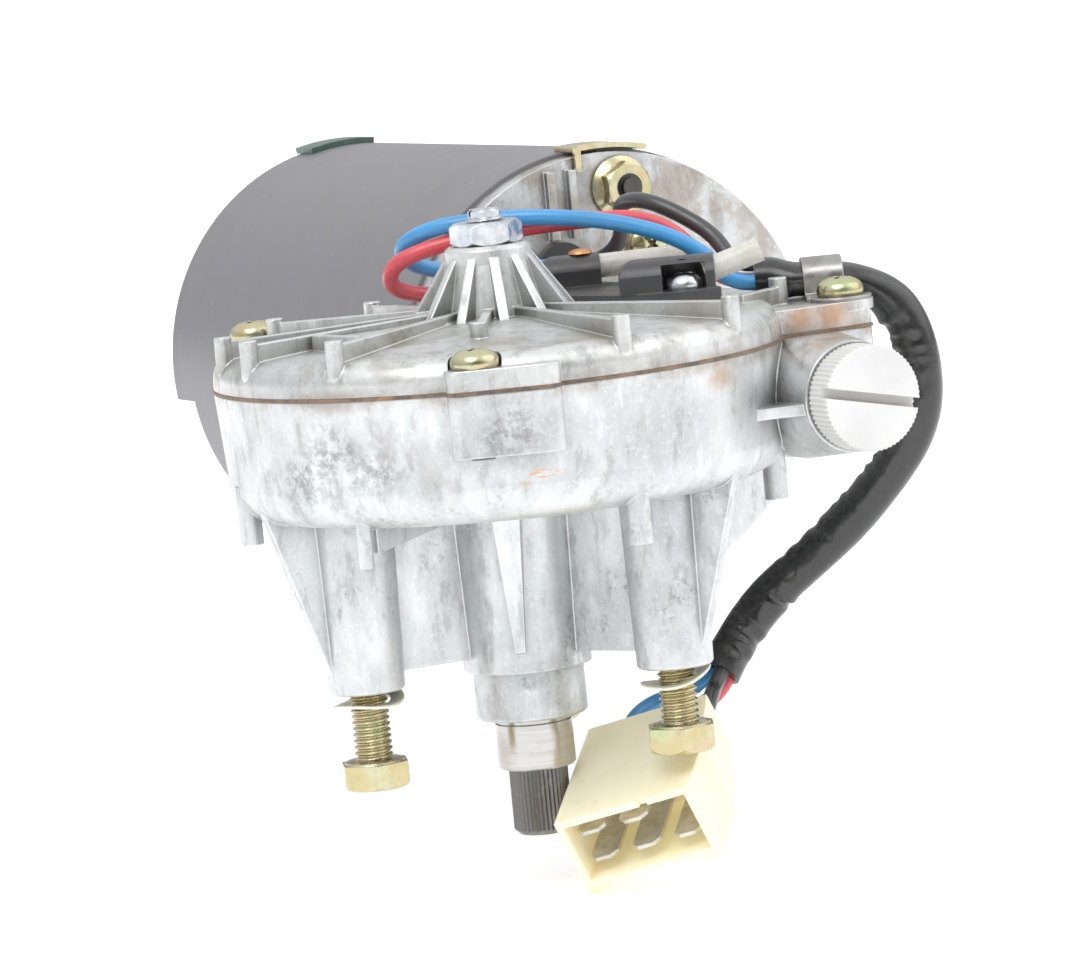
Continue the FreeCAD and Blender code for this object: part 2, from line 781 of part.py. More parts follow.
def armature_windings():
    """Coil sides in the slots, joined by a rounded head at each end."""
    y0, y1 = STACK_Y
    front = turned([(12, y0), (33.5, y0), ((34.5, y0 - 4), (30, y0 - 8.5)), (15, y0 - 8.5), (12, y0 - 5)])
    rear = turned([(12, y1), (33.5, y1), ((34.5, y1 + 4), (30, y1 + 8.5)), (15, y1 + 8.5), (12, y1 + 5)])
    sides = [moved(disc(4.1, y0 - 1, y1 + 1, 28.5, 0), V(0, 0, 0), Z, 360 * i / SLOTS) for i in range(SLOTS)]
    return along_motor(join(front, rear, *sides))


def commutator():
    y0, y1 = COMMUTATOR_Y
    riser = [(COMMUTATOR_R, y1 - 3), (17.2, y1 - 3), (17.2, y1)]
    body = turned([(8.0, y0), (COMMUTATOR_R, y0)] + riser + [(8.0, y1)])
    slit = block(COMMUTATOR_R - 1, 18, -0.25, 0.25, y0 - 1, y1 + 1)
    slits = [moved(slit, V(0, 0, 0), Z, 180 * i / SLOTS) for i in range(2 * SLOTS)]
    return along_motor(cut(body, *slits))


def bearing_ring(inner_r, outer_r, y0, y1):
    ring = turned([(inner_r, y0), (outer_r, y0), (outer_r, y1), (inner_r, y1)])
    middle = (y0 + y1) / 2
    return along_motor(cut(ring, moved(Part.makeTorus(12.5, 3.05), V(0, 0, middle))))


def bearing_balls():
    middle = 65.5
    balls = []
    for i in range(8):
        x, y = polar(12.5, 45 * i)
        balls.append(Part.makeSphere(3.0, V(x, y, middle)))
    return along_motor(Part.makeCompound(balls))


def front_bush():
    return barrel(8.05, -36, -24).cut(barrel(5.0, -37, -23))


def rear_bush():
    return barrel(10.0, 178, 188).cut(barrel(6.0, 177, 189))


def thrust_ball():
    return Part.makeSphere(2.75, V(MOTOR_X, -39.3, MOTOR_Z))


def thrust_pad():
    return barrel(7.9, -45.2, -42.1)


# Motor shell -----------------------------------------------------------------------------------


def motor_can():
    tube = barrel(CAN_R, CAN_START, CAN_END).cut(barrel(CAN_R - CAN_WALL, CAN_START - 1, CAN_END + 1))
    notch = disc(CAN_R + 3, CAN_END - 11, CAN_END + 1).cut(disc(CAN_R - 6, CAN_END - 12, CAN_END + 2))
    wedge = polygon_prism([(0, 0), polar(75, -7.5), polar(75, -42)], CAN_END - 12, CAN_END + 2)
    notch = notch.common(wedge)
    notches = [along_motor(moved(notch, V(0, 0, 0), Z, turn)) for turn in (NOTCH_TURN, NOTCH_TURN + 180)]
    tube = cut(tube, *notches)
    rims = [e for e in tube.Edges if e.BoundBox.YLength < 0.01 and e.BoundBox.YMax > CAN_END - 0.1]
    outer = [e for e in rims if hasattr(e.Curve, "Radius") and abs(e.Curve.Radius - CAN_R) < 0.01]
    return tube.makeChamfer(0.5, outer)


def rear_end_cap():
    """The recessed rear end, which carries the rear bush and the through-bolt heads."""
    plate = turned_on_motor(
        [
            (0, 184),
            (CAN_R - CAN_WALL - 0.1, 184),
            (CAN_R - CAN_WALL - 0.1, 190),
            (43, 190),
            (41, 188),
            (18, 188),
            (14.5, 194),
            (12.5, 195),
            (0, 195),
        ]
    )
    boss = barrel(15, 177, 186)
    ribs = []
    for i in range(6):
        fin = rib([(12, 187), (43, 187), (42, 189.6), (15, 193.2), (12, 193.2)], 2.2, 60 * i + 23)
        ribs.append(along_motor(fin))
    pads = [barrel(7.0, 184, 190.5, *about_motor(BOLT_CIRCLE - 1.8, a)) for a in BOLT_ANGLES]
    holes = [barrel(3.2, 180, 200, *about_motor(BOLT_CIRCLE, a)) for a in BOLT_ANGLES]
    return cut(join(plate, boss, *ribs, *pads), barrel(10, 176, 188.5), *holes)


def clip(angle0, angle1, y0, y1, thickness):
    """A sheet strip that bridges the can's edge, with a lip at its outer side."""
    ring = barrel(CAN_R + thickness, y0, y1).cut(barrel(CAN_R + 0.02, y0 - 1, y1 + 1))
    span = [about_motor(80, angle0), about_motor(80, (angle0 + angle1) / 2), about_motor(80, angle1)]
    corners = [V(MOTOR_X, y0, MOTOR_Z)] + [V(x, y0, z) for x, z in span] + [V(MOTOR_X, y0, MOTOR_Z)]
    wedge = Part.Face(Part.makePolygon(corners)).extrude(V(0, y1 - y0, 0))
    return ring.common(wedge)


def can_clip_front():
    strip = clip(76, 96.5, FLANGE_Y - 0.8, FLANGE_Y + 9, 1.2)
    x, z = about_motor(CAN_R - 0.4, 95.5)
    tab = block(x - 1.1, x + 0.3, FLANGE_Y - 1.6, FLANGE_Y - 0.4, z - 4, z + 1.2)
    return join(strip, tab)


def can_clip_rear():
    return clip(84, 103, CAN_END - 8, CAN_END + 1.5, 1.4)


def field_magnets():
    magnets = []
    for centre in (173, 353):
        arc = barrel(CAN_R - CAN_WALL - 0.05, 98, 170).cut(barrel(37.6, 97, 171))
        sides = [about_motor(90, centre - 62), about_motor(90, centre), about_motor(90, centre + 62)]
        corners = [V(MOTOR_X, 97, MOTOR_Z)] + [V(x, 97, z) for x, z in sides] + [V(MOTOR_X, 97, MOTOR_Z)]
        wedge = Part.Face(Part.makePolygon(corners)).extrude(V(0, 74, 0))
        magnets.append(arc.common(wedge))
    return magnets


def through_bolts():
    bolts = []
    for angle in BOLT_ANGLES:
        x, z = about_motor(BOLT_CIRCLE, angle)
        shank = join(disc(2.95, 53.5, 191), disc(2.2, 51.8, 53.6))
        bolt = join(shank, moved(hex_head(10, 4), V(0, 0, 190.5)))
        bolts.append(moved(moved(bolt, V(0, 0, 0), X, -90), V(x, 0, z)))
    return bolts


def flange_nuts():
    nuts = []
    for angle in BOLT_ANGLES:
        x, z = about_motor(BOLT_CIRCLE, angle)
        skirt = turned([(0, 0), (6.9, 0), (6.9, 0.9), (5.2, 2.2), (0, 2.2)])
        nut = cut(join(skirt, hex_head(10, 5.2)), disc(3.0, -1, 7))
        nuts.append(moved(moved(nut, V(0, 0, 0), X, 90), V(x, FLANGE_Y, z)))
    return nuts


def flange_screws():
    screws = []
    for angle in PLATE_ANGLES:
        x, z = about_motor(PLATE_CIRCLE, angle)
        screw = pan_head_screw(4.6, 3.4, 2.0, 16.5)
        screws.append(moved(moved(screw, V(0, 0, 0), X, 90), V(x, FLANGE_Y, z)))
    return screws


# Brush gear ------------------------------------------------------------------------------------


def brush_plate():
    plate = barrel(44, 71.5, 73.5).cut(barrel(19, 71, 74))
    holes = [barrel(3.6, 71, 74, *about_motor(BOLT_CIRCLE, a)) for a in BOLT_ANGLES]
    holes += [barrel(2.05, 71, 74, *about_motor(PLATE_CIRCLE, a)) for a in PLATE_ANGLES]
    return cut(plate, *holes)


def brush_piece(shape, angle):
    """Place a piece made along local X, about the commutator, at an angle about the motor axis."""
    turned_piece = moved(shape, V(0, 0, 0), Y, -angle)
    return moved(turned_piece, V(MOTOR_X, BRUSH_Y, MOTOR_Z))


def brush_boxes():
    box = block(18.5, 36, -8.5, 5.4, -4.4, 4.4).cut(block(17, 34.8, -4.05, 4.05, -3.05, 3.05))
    return [brush_piece(box, angle) for angle in BRUSH_ANGLES]


def carbon_brushes():
    brush = block(14, 27, -3.9, 3.9, -2.9, 2.9).cut(
        Part.makeCylinder(COMMUTATOR_R + RUN_CLEARANCE, 12, V(0, -6, 0), Y)
    )
    return [brush_piece(brush, angle) for angle in BRUSH_ANGLES]


def brush_springs():
    """Coil springs as a spiral wire each, between the brush and the box's end."""
    turns, wire = 5, 0.35
    length = 34.7 - 27.1 - 2 * wire
    helix = Part.makeHelix(length / turns, length, 2.0)
    loop = Part.Wire(Part.makeCircle(wire, V(2.0, 0, 0), Y))
    coil = Part.Wire(helix.Edges).makePipeShell([loop], True, True)
    coil = moved(coil, V(27.1 + wire, 0, 0), Y, 90)
    return [brush_piece(coil, angle) for angle in BRUSH_ANGLES]


# Worm end plug ---------------------------------------------------------------------------------


def worm_end_plug():
    head = star(64, 10.8, 10.45, 0, 7.2)
    crown = turned([(0, -1), (11.5, -1), (11.5, 6.4), (10.2, 7.2), (0, 7.2)])
    shank = turned([(0, -4.6), (7.4, -4.6), (7.95, -4), (7.95, 1), (0, 1)])
    slot = block(-12, 12, -1.0, 1.0, 4.6, 8)
    plug = cut(join(head.common(crown), shank), moved(slot, V(0, 0, 0), Z, SLOT_TILT))
    return moved(moved(plug, V(0, 0, 0), X, 90), V(MOTOR_X, PLUG_TUBE_Y - 0.3, MOTOR_Z))


# Mounting hardware -----------------------------------------------------------------------------


def mounting_bolts():
    bolts = []
    for (x, y), seat in zip(boss_places(), (-12.2, -14.6, -12.2)):
        head = moved(hex_head(13, 5.3), V(0, 0, 0), X, 180)
        rod = threaded_rod(3.95, 1.25, -0.5, 33)
        washer_face = disc(6.2, -0.1, 0.3)
        bolt = join(head, washer_face, rod)
        bolts.append(moved(bolt, V(x, y, seat), Z, 17 + x))
    return bolts


def spring_washers():
    """Split curved washers, loose and tilted on the bolts."""
    washers = []
    tilts = ((V(0.4, 0.9, 0), 9), (V(-0.5, 0.85, 0), -8), (V(0.42, 0.9, 0), -16))
    for (x, y), (axis, tilt), z in zip(boss_places(), tilts, (-2.9, -1.9, -2.9)):
        ring = disc(7.4, -0.3, 0.3).cut(disc(4.45, -1, 1))
        ring = ring.cut(block(0, 9, -0.6, 0.6, -1, 1))
        ring = moved(ring, V(0, 0, 0), Z, 60)
        washers.append(moved(ring, V(x, y, z), axis, tilt))
    return washers


# Park switch -----------------------------------------------------------------------------------


def switch_base():
    """The moulded base, shaped underneath to sit on the domed cover."""
    near = [(17.5, 10), (24, -12), (32.5, -20.5), (41.5, -21.5), (43.5, -14)]
    far = [(39, 14), (38, 29), (28, 32), (18, 26)]
    base = polygon_prism(near + far, 69.0, SWITCH_TOP)
    cover = turned([(0, 60), (60, 60), (60, 69.42), (53.5, 69.9), (17, COVER_TOP), (0, COVER_TOP)])
    return base.cut(cover)


def tunnel(length, width, height, back):
    """A hood over a terminal, along local X, with a rounded top and a rounded closed end."""
    half, shoulder, bend = width / 2, height - width * 0.35, back * 0.3
    section = Part.Face(outline([(-half, 0), (half, 0), (half, shoulder), ((0, height), (-half, shoulder))]))
    solid = moved(section.extrude(V(0, length, 0)), V(0, 0, 0), Z, -90)
    rounded_end = [(back, height), ((bend, height - bend), (0, height - back))]
    profile = Part.Face(outline([(0, 0), (length, 0), (length, height)] + rounded_end))
    return solid.common(moved(profile.extrude(V(0, width, 0)), V(0, -half, 0)))


def in_front_tunnel(shape):
    return moved(shape, V(25.0, -8.2, SWITCH_TOP), Z, -25.2)


def in_rear_tunnel(shape):
    return moved(shape, V(24.6, 29.0, SWITCH_TOP), Z, -23.5)


def park_switch():
    """The moulded switch with two terminal tunnels and a pocket for its screw."""
    front = in_front_tunnel(tunnel(19.6, 9.4, 80.6 - SWITCH_TOP, 4.0))
    rear = in_rear_tunnel(tunnel(13.0, 9.4, 80.4 - SWITCH_TOP, 4.0))
    bore = Part.makeCylinder(2.6, 4, V(-0.1, 0, 0), X)
    rear_bore = in_rear_tunnel(moved(bore, V(10.8, 0, 3.6), Y, -1))
    front_bore = in_front_tunnel(moved(bore, V(17.6, 0.3, 2.9), Y, -17))
    pocket = disc(4.5, SWITCH_TOP, 79.2, *SWITCH_SCREW)
    mouth = moved(block(-4.5, 4.5, -12, 0, SWITCH_TOP, 79.2), V(*SWITCH_SCREW, 0), Z, -25.2)
    screw_hole = disc(1.3, 60, 80, *SWITCH_SCREW)
    fingers = [disc(1.3, 60, 72.6, x, y) for x, y in FINGER_SPOTS]
    rivet_hole = disc(1.2, 70, 82, *RIVET_SPOT)
    solid = join(switch_base(), front, rear)
    return cut(solid, rear_bore, front_bore, pocket, mouth, screw_hole, rivet_hole, *fingers)


def contact_fingers():
    """Two sprung strips from the switch to the contact plate on the wheel."""
    fingers = []
    for (x, y), reach in zip(FINGER_SPOTS, (7.0, 5.0)):
        stem = block(-0.2, 0.2, -0.8, 0.8, 58.6, 72.6)
        leaf = block(-0.2, reach, -0.8, 0.8, 58.4, 58.8)
        tip = turned([(0, 56.7), ((0.45, 56.85), (0.8, 57.4)), (0.8, 58.6), (0, 58.6)])
        finger = join(stem, leaf, moved(tip, V(reach - 0.9, 0, 0)))
        fingers.append(moved(finger, V(x, y, 0), Z, 90))
    return fingers


def park_switch_screw():
    screw = pan_head_screw(3.7, 3.2, 1.3, 6.0)
    return moved(screw, V(*SWITCH_SCREW, SWITCH_TOP))


def terminal_rivet():
    head = turned([(0, 80.4), (2.6, 80.4), (2.3, 81.0), (1.2, 81.4), (0, 81.4)])
    return moved(join(head, disc(1.2, 78.0, 80.6)), V(*RIVET_SPOT, 0))


def insulator(length, tilt, start):
    """A soft hollow sleeve along local X."""
    bore = Part.makeCylinder(2.1, length, V(1.5, 0, 0), X)
    return moved(Part.makeCylinder(2.55, length, V(0, 0, 0), X).cut(bore), start, Y, -tilt)


def terminal_sleeves():
    """Soft insulating sleeves on the two switch terminals."""
    rear = in_rear_tunnel(insulator(25.7, 1, V(10.8, 0, 3.6)))
    front = in_front_tunnel(insulator(12.4, 17, V(17.6, 0.3, 2.9)))
    return [rear, front]


# Cable, clamp and plug -------------------------------------------------------------------------


def lead_grommet():
    ring = join(
        barrel(6.2, FLANGE_Y - 1.8, FLANGE_Y, GROMMET_X, GROMMET_Z),
        barrel(GROMMET_R, FLANGE_Y - 0.5, CAN_START + 4, GROMMET_X, GROMMET_Z),
    )
    return ring


def cable_clamp():
    """A strap over the cable with one foot under a cover screw."""
    inner, outer = SLEEVE_R + 0.2, SLEEVE_R + 0.2 + CLAMP_T
    strap = join(Part.makeCylinder(outer, 8, V(-4, 0, 0), X), block(-4, 4, -outer, outer, -8, 0))
    strap = strap.cut([Part.makeCylinder(inner, 10, V(-5, 0, 0), X), block(-5, 5, -inner, inner, -9, 0)])
    strap = moved(moved(strap, V(0, 0, 0), Y, 4.4), V(0, 0, CLAMP_SPOT[2]))
    strap = strap.cut(block(-9, 9, -9, 9, 50, PLATE_TOP))
    foot = block(-4, 4, -13, -inner, PLATE_TOP, PLATE_TOP + CLAMP_T)
    bent = moved(join(strap, foot), V(CLAMP_SPOT[0], CLAMP_SPOT[1], 0), Z, -24.8)
    round_end = disc(6.4, PLATE_TOP, PLATE_TOP + CLAMP_T, *SCREW_SPOTS[2])
    return cut(join(bent, round_end), disc(2.6, 60, 75, *SCREW_SPOTS[2]))


def in_plug(shape):
    """Place a piece made in the plug's frame: X from its left side, Y back from the mouth, Z up."""
    placed = shape.copy()
    placed.translate(V(0, -PLUG_SIZE[1], -PLUG_SIZE[2]))
    placed.Placement = FreeCAD.Placement(PLUG_CORNER, PLUG_TURN).multiply(placed.Placement)
    return placed


def plug_section(y, x1, z0):
    """A rectangle across the plug, from its left side and its top."""
    top = PLUG_SIZE[2]
    corners = [V(0, y, z0), V(x1, y, z0), V(x1, y, top), V(0, y, top)]
    return Part.makePolygon(corners + [corners[0]])


def connector_housing():
    """The moulded plug: a tapered body, an open mouth, two feet and the blades' slots."""
    width, depth, height = PLUG_SIZE
    back_w, back_h = PLUG_BACK
    front = Part.makeLoft([plug_section(0, width, 1.4), plug_section(depth * 0.45, width, 1.4)], True, True)
    back = Part.makeLoft(
        [plug_section(depth * 0.45, width, 1.4), plug_section(depth, back_w, height - back_h)], True, True
    )
    feet = [block(x, x + 4.6, 0, depth * 0.45, 0, 3.0) for x in (0, width - 4.6)]
    body = join(front, back, *feet)
    mouth = block(PLUG_WALL, width - PLUG_WALL, -1, PLUG_CAVITY, 1.4 + PLUG_WALL, height - PLUG_WALL)
    key = block(width / 2 - 0.8, width / 2 + 0.8, 8, depth / 2, 12, height - 1)
    keys = [moved(key, V(x, 0, 0)) for x in (-4.8, 4.8)]
    slots = [blade(x, z, 0.05) for x, z in blade_places()]
    relief = block(width * 0.62, width * 0.68, -1, 1.0, height - 3, height + 1)
    return in_plug(cut(join(body.cut(mouth), *keys), relief, *slots))


def blade_places():
    middle = PLUG_SIZE[0] / 2
    height = (PLUG_SIZE[2] + 1.4) / 2
    places = [(middle + x, height + BLADE_ROWS[0]) for x in BLADE_COLUMNS[:2]]
    return places + [(middle + x, height + BLADE_ROWS[1]) for x in BLADE_COLUMNS]


def blade(x, z, grow):
    """One flat terminal with a bevelled tip."""
    half, thick, end = 3.15 + grow, 0.4 + grow, PLUG_CAVITY + 8
    point, shoulder = BLADE_TIP, BLADE_TIP + 1.6
    bevel = [(-half, shoulder), (-half + 1.4, point), (half - 1.4, point), (half, shoulder)]
    plan = bevel + [(half, end), (-half, end)]
    return moved(polygon_prism(plan, -thick, thick), V(x, 0, z))


def connector_blades():
    return [in_plug(blade(x, z, 0)) for x, z in blade_places()]


def rounded_path(points):
    """Straight runs joined by tangent arcs, and the arcs' radii."""
    points = [V(*p) for p in points]
    edges, radii = [], []
    start = points[0]
    for before, corner, after in zip(points, points[1:], points[2:]):
        back = (before - corner).normalize()
        ahead = (after - corner).normalize()
        half_turn = (math.pi - back.getAngle(ahead)) / 2
        setback = 0.45 * min((before - corner).Length, (after - corner).Length)
        radius = setback / math.tan(half_turn)
        entry, leave = corner + back * setback, corner + ahead * setback
        inward = (back + ahead).normalize()
        middle = corner + inward * (radius / math.cos(half_turn) - radius)
        edges += [Part.makeLine(start, entry), Part.Arc(entry, middle, leave).toShape()]
        radii.append(radius)
        start = leave
    edges.append(Part.makeLine(start, points[-1]))
    return Part.Wire(edges), radii


def cord(name, points, radius):
    path, radii = rounded_path(points)
    start = path.Edges[0].Vertexes[0].Point
    tangent = (V(*points[1]) - V(*points[0])).normalize()
    section = Part.Wire(Part.makeCircle(radius, start, tangent))
    tube = path.makePipeShell([section], True, False)
    expected = math.pi * radius ** 2 * path.Length
    shown = " ".join(f"{r:.0f}" for r in radii)
    print(f"{name}: length {path.Length:.1f}, volume/expected {tube.Volume / expected:.4f}, radii {shown}")
    save(name, tube)


# Write every node ------------------------------------------------------------------------------


def main():
    os.makedirs("parts", exist_ok=True)
    save("gear_housing", gear_housing())
    save("gear_cover", gear_cover())
    save("cover_gasket", cover_gasket())
    save("cover_screws", *cover_screws())
    save("worm_wheel", worm_wheel())
    save("wheel_hub", wheel_hub())
    save("output_shaft", output_shaft())
    save("contact_disc", contact_disc())
    save("armature_shaft", armature_shaft())
    save("lamination_stack", lamination_stack())
    save("armature_windings", armature_windings())
    save("commutator", commutator())
    save("bearing_outer_race", bearing_ring(13.8, 17.5, 60, 71))
    save("bearing_inner_race", bearing_ring(7.5, 11.2, 60, 71))
    save("bearing_balls", bearing_balls())
    save("motor_can", motor_can())
    save("rear_end_cap", rear_end_cap())
    save("can_clip_front", can_clip_front())
    save("can_clip_rear", can_clip_rear())
    save("field_magnets", *field_magnets())
    save("through_bolts", *through_bolts())
    save("flange_nuts", *flange_nuts())
    save("flange_screws", *flange_screws())
    save("brush_plate", brush_plate())
    save("brush_boxes", *brush_boxes())
    save("carbon_brushes", *carbon_brushes())
    save("brush_springs", *brush_springs())
    save("worm_end_plug", worm_end_plug())
    save("mounting_bolts", *mounting_bolts())
    save("spring_washers", *spring_washers())
    save("front_bush", front_bush())
    save("rear_bush", rear_bush())
    save("thrust_ball", thrust_ball())
    save("thrust_pad", thrust_pad())
    save("output_bush_lower", output_bush(-7.6, 10))
    save("output_bush_upper", output_bush(18, CAVITY_FLOOR))
    save("output_seal", output_seal())
    save("thrust_washer", thrust_washer())
    save("retaining_ring", retaining_ring())
    save("adjuster_stud", adjuster_stud())
    save("lock_nut", lock_nut())
    save("park_switch", park_switch())
    save("park_switch_screw", park_switch_screw())
    save("contact_fingers", *contact_fingers())
    save("terminal_rivet", terminal_rivet())
    save("terminal_sleeves", *terminal_sleeves())
    save("lead_grommet", lead_grommet())
    save("cable_clamp", cable_clamp())
    save("connector_housing", connector_housing())
    save("connector_blades", *connector_blades())
    cord("cable_sleeve", SLEEVE_ROUTE, SLEEVE_R)
    cord("lead_blue", LEAD_BLUE, WIRE_R)
    cord("lead_red", LEAD_RED, WIRE_R)
    cord("lead_black", LEAD_BLACK, WIRE_R)
    cord("tail_blue", TAIL_BLUE, WIRE_R)
    cord("tail_red", TAIL_RED, WIRE_R)
    cord("tail_black", TAIL_BLACK, WIRE_R)


main()
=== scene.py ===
"""Looks for the worm-gear motor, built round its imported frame.

Lengths are in millimetres until they are placed.
"""

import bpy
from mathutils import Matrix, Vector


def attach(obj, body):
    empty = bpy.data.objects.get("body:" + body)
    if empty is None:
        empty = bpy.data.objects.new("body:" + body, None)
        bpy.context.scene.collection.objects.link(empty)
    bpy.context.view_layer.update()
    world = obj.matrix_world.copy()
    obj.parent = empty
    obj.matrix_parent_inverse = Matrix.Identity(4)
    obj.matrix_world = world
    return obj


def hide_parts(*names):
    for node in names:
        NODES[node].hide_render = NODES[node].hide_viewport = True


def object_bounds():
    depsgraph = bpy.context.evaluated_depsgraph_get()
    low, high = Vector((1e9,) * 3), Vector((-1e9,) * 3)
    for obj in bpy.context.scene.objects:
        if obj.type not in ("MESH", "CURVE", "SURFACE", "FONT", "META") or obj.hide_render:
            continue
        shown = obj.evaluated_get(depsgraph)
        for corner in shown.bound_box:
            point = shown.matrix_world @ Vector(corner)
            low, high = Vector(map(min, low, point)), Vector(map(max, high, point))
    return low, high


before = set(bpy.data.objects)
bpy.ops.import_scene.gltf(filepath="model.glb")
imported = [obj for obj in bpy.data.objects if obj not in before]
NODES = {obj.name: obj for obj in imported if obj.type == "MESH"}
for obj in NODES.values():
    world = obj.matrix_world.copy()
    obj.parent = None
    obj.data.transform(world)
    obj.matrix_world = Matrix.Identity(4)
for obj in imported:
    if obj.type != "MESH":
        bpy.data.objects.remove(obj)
CAD_BOX = [list(corner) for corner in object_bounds()]

import math
import random

import bpy
from mathutils import Matrix, Vector

MM = 0.001
SHEET = 0.5


# Camera ----------------------------------------------------------------------------------------


def camera():
    """The photograph's view: a long lens, slightly above the joint, with a small roll."""
    forward = Vector((0.4213, 0.8996, -0.1146)).normalized()
    right = Vector((0.8967, -0.4322, -0.0961))
    right = (right - forward * right.dot(forward)).normalized()
    up = right.cross(forward)
    data = bpy.data.cameras.new("camera")
    data.sensor_width, data.lens = 36.0, 182.5
    data.clip_start, data.clip_end = 0.05, 100.0
    eye = bpy.data.objects.new("camera", data)
    bpy.context.scene.collection.objects.link(eye)
    turn = Matrix((right, up, -forward)).transposed().to_4x4()
    eye.matrix_world = Matrix.Translation(Vector((-469.6, -1018.6, 167.1)) * MM) @ turn
    bpy.context.scene.camera = eye


# Materials -------------------------------------------------------------------------------------


class Finish:
    """A Principled material whose colour, roughness and relief are built up in layers."""

    def __init__(self, name, colour, roughness, metallic=0.0, **sockets):
        self.material = bpy.data.materials.new(name)
        self.material.use_nodes = True
        self.tree = self.material.node_tree
        self.shader = self.tree.nodes["Principled BSDF"]
        self.shader.inputs["Metallic"].default_value = metallic
        for socket, value in sockets.items():
            self.shader.inputs[socket.replace("_", " ")].default_value = value
        self.colour = (*colour, 1.0)
        self.roughness = roughness
        self.normal = None
        self.place = self.tree.nodes.new("ShaderNodeTexCoord").outputs["Object"]

    def node(self, kind, inputs=(), **settings):
        made = self.tree.nodes.new("ShaderNode" + kind)
        for key, value in settings.items():
            setattr(made, key, value)
        for key, value in dict(inputs).items():
            self.put(value, made.inputs[key])
        return made

    def put(self, value, socket):
        if isinstance(value, bpy.types.NodeSocket):
            self.tree.links.new(value, socket)
        else:
            socket.default_value = value

    def maths(self, operation, *values):
        made = self.node("Math", operation=operation)
        for value, socket in zip(values, made.inputs):
            self.put(value, socket)
        return made.outputs[0]

    def scaled(self, stretch):
        return self.node("VectorMath", {0: self.place, 1: stretch}, operation="MULTIPLY").outputs[0]

    def noise(self, size, detail=4.0, rough=0.55, stretch=None, distortion=0.0):
        """Cloudy noise whose features are about this many millimetres across."""
        place = self.place if stretch is None else self.scaled(stretch)
        inputs = {"Vector": place, "Scale": 0.5 / (size * MM), "Detail": detail}
        inputs.update({"Roughness": rough, "Distortion": distortion})
        return self.node("TexNoise", inputs).outputs["Fac"]

    def cells(self, size, feature="F1"):
        inputs = {"Vector": self.place, "Scale": 1.0 / (size * MM)}
        return self.node("TexVoronoi", inputs, feature=feature).outputs["Distance"]

    def fit(self, value, low, high, to_low=0.0, to_high=1.0):
        """Map a range smoothly to another."""
        inputs = {"Value": value, "From Min": low, "From Max": high, "To Min": to_low, "To Max": to_high}
        return self.node("MapRange", inputs, interpolation_type="SMOOTHSTEP").outputs["Result"]

    def near(self, spot, reach, soft, stretch=(1, 1, 1)):
        """1 near a spot in millimetres, falling to 0 past its reach, with a ragged edge."""
        inputs = {0: self.place, 1: [x * MM for x in spot]}
        away = self.node("VectorMath", inputs, operation="SUBTRACT").outputs[0]
        away = self.node("VectorMath", {0: away, 1: stretch}, operation="MULTIPLY").outputs[0]
        distance = self.node("VectorMath", {0: away}, operation="LENGTH").outputs["Value"]
        ragged = self.maths("MULTIPLY_ADD", self.noise(reach * 0.5, 6, 0.65), soft * 2 * MM, distance)
        edge = (reach + soft) * MM
        return self.fit(ragged, edge - soft * MM, edge + soft * MM, 1.0, 0.0)

    def along(self, axis):
        return self.node("SeparateXYZ", {0: self.place}).outputs[axis]

    def crevice(self, reach, samples=6):
        """1 in corners and under edges, within this many millimetres."""
        made = self.node("AmbientOcclusion", {"Distance": reach * MM}, samples=samples)
        return self.maths("SUBTRACT", 1.0, made.outputs["AO"])

    def round_edges(self, radius, samples=4):
        """Soften the edges' shading, and return a mask of them."""
        made = self.node("Bevel", {"Radius": radius * MM}, samples=samples)
        self.normal = made.outputs[0]
        true = self.node("NewGeometry").outputs["Normal"]
        same = self.node("VectorMath", {0: made.outputs[0], 1: true}, operation="DOT_PRODUCT")
        return self.fit(same.outputs["Value"], 0.995, 0.86)

    def paint(self, mask, colour, strength=1.0):
        made = self.node("Mix", data_type="RGBA")
        self.put(mask if strength == 1.0 else self.maths("MULTIPLY", mask, strength), made.inputs[0])
        self.put(self.colour, made.inputs[6])
        self.put((*colour, 1.0), made.inputs[7])
        self.colour = made.outputs[2]

    def dull(self, mask, roughness):
        made = self.node("Mix", data_type="FLOAT")
        self.put(mask, made.inputs[0])
        self.put(self.roughness, made.inputs[2])
        self.put(roughness, made.inputs[3])
        self.roughness = made.outputs[0]

    def relief(self, height, depth, strength=1.0):
        """Raise the surface by this many millimetres where the height is 1."""
        made = self.node("Bump", {"Strength": strength, "Distance": depth * MM, "Height": height})
        if self.normal is not None:
            self.put(self.normal, made.inputs["Normal"])
        self.normal = made.outputs[0]

    def done(self):
        self.put(self.colour, self.shader.inputs["Base Color"])
        self.put(self.roughness, self.shader.inputs["Roughness"])
        if self.normal is not None:
            self.put(self.normal, self.shader.inputs["Normal"])
        return self.material


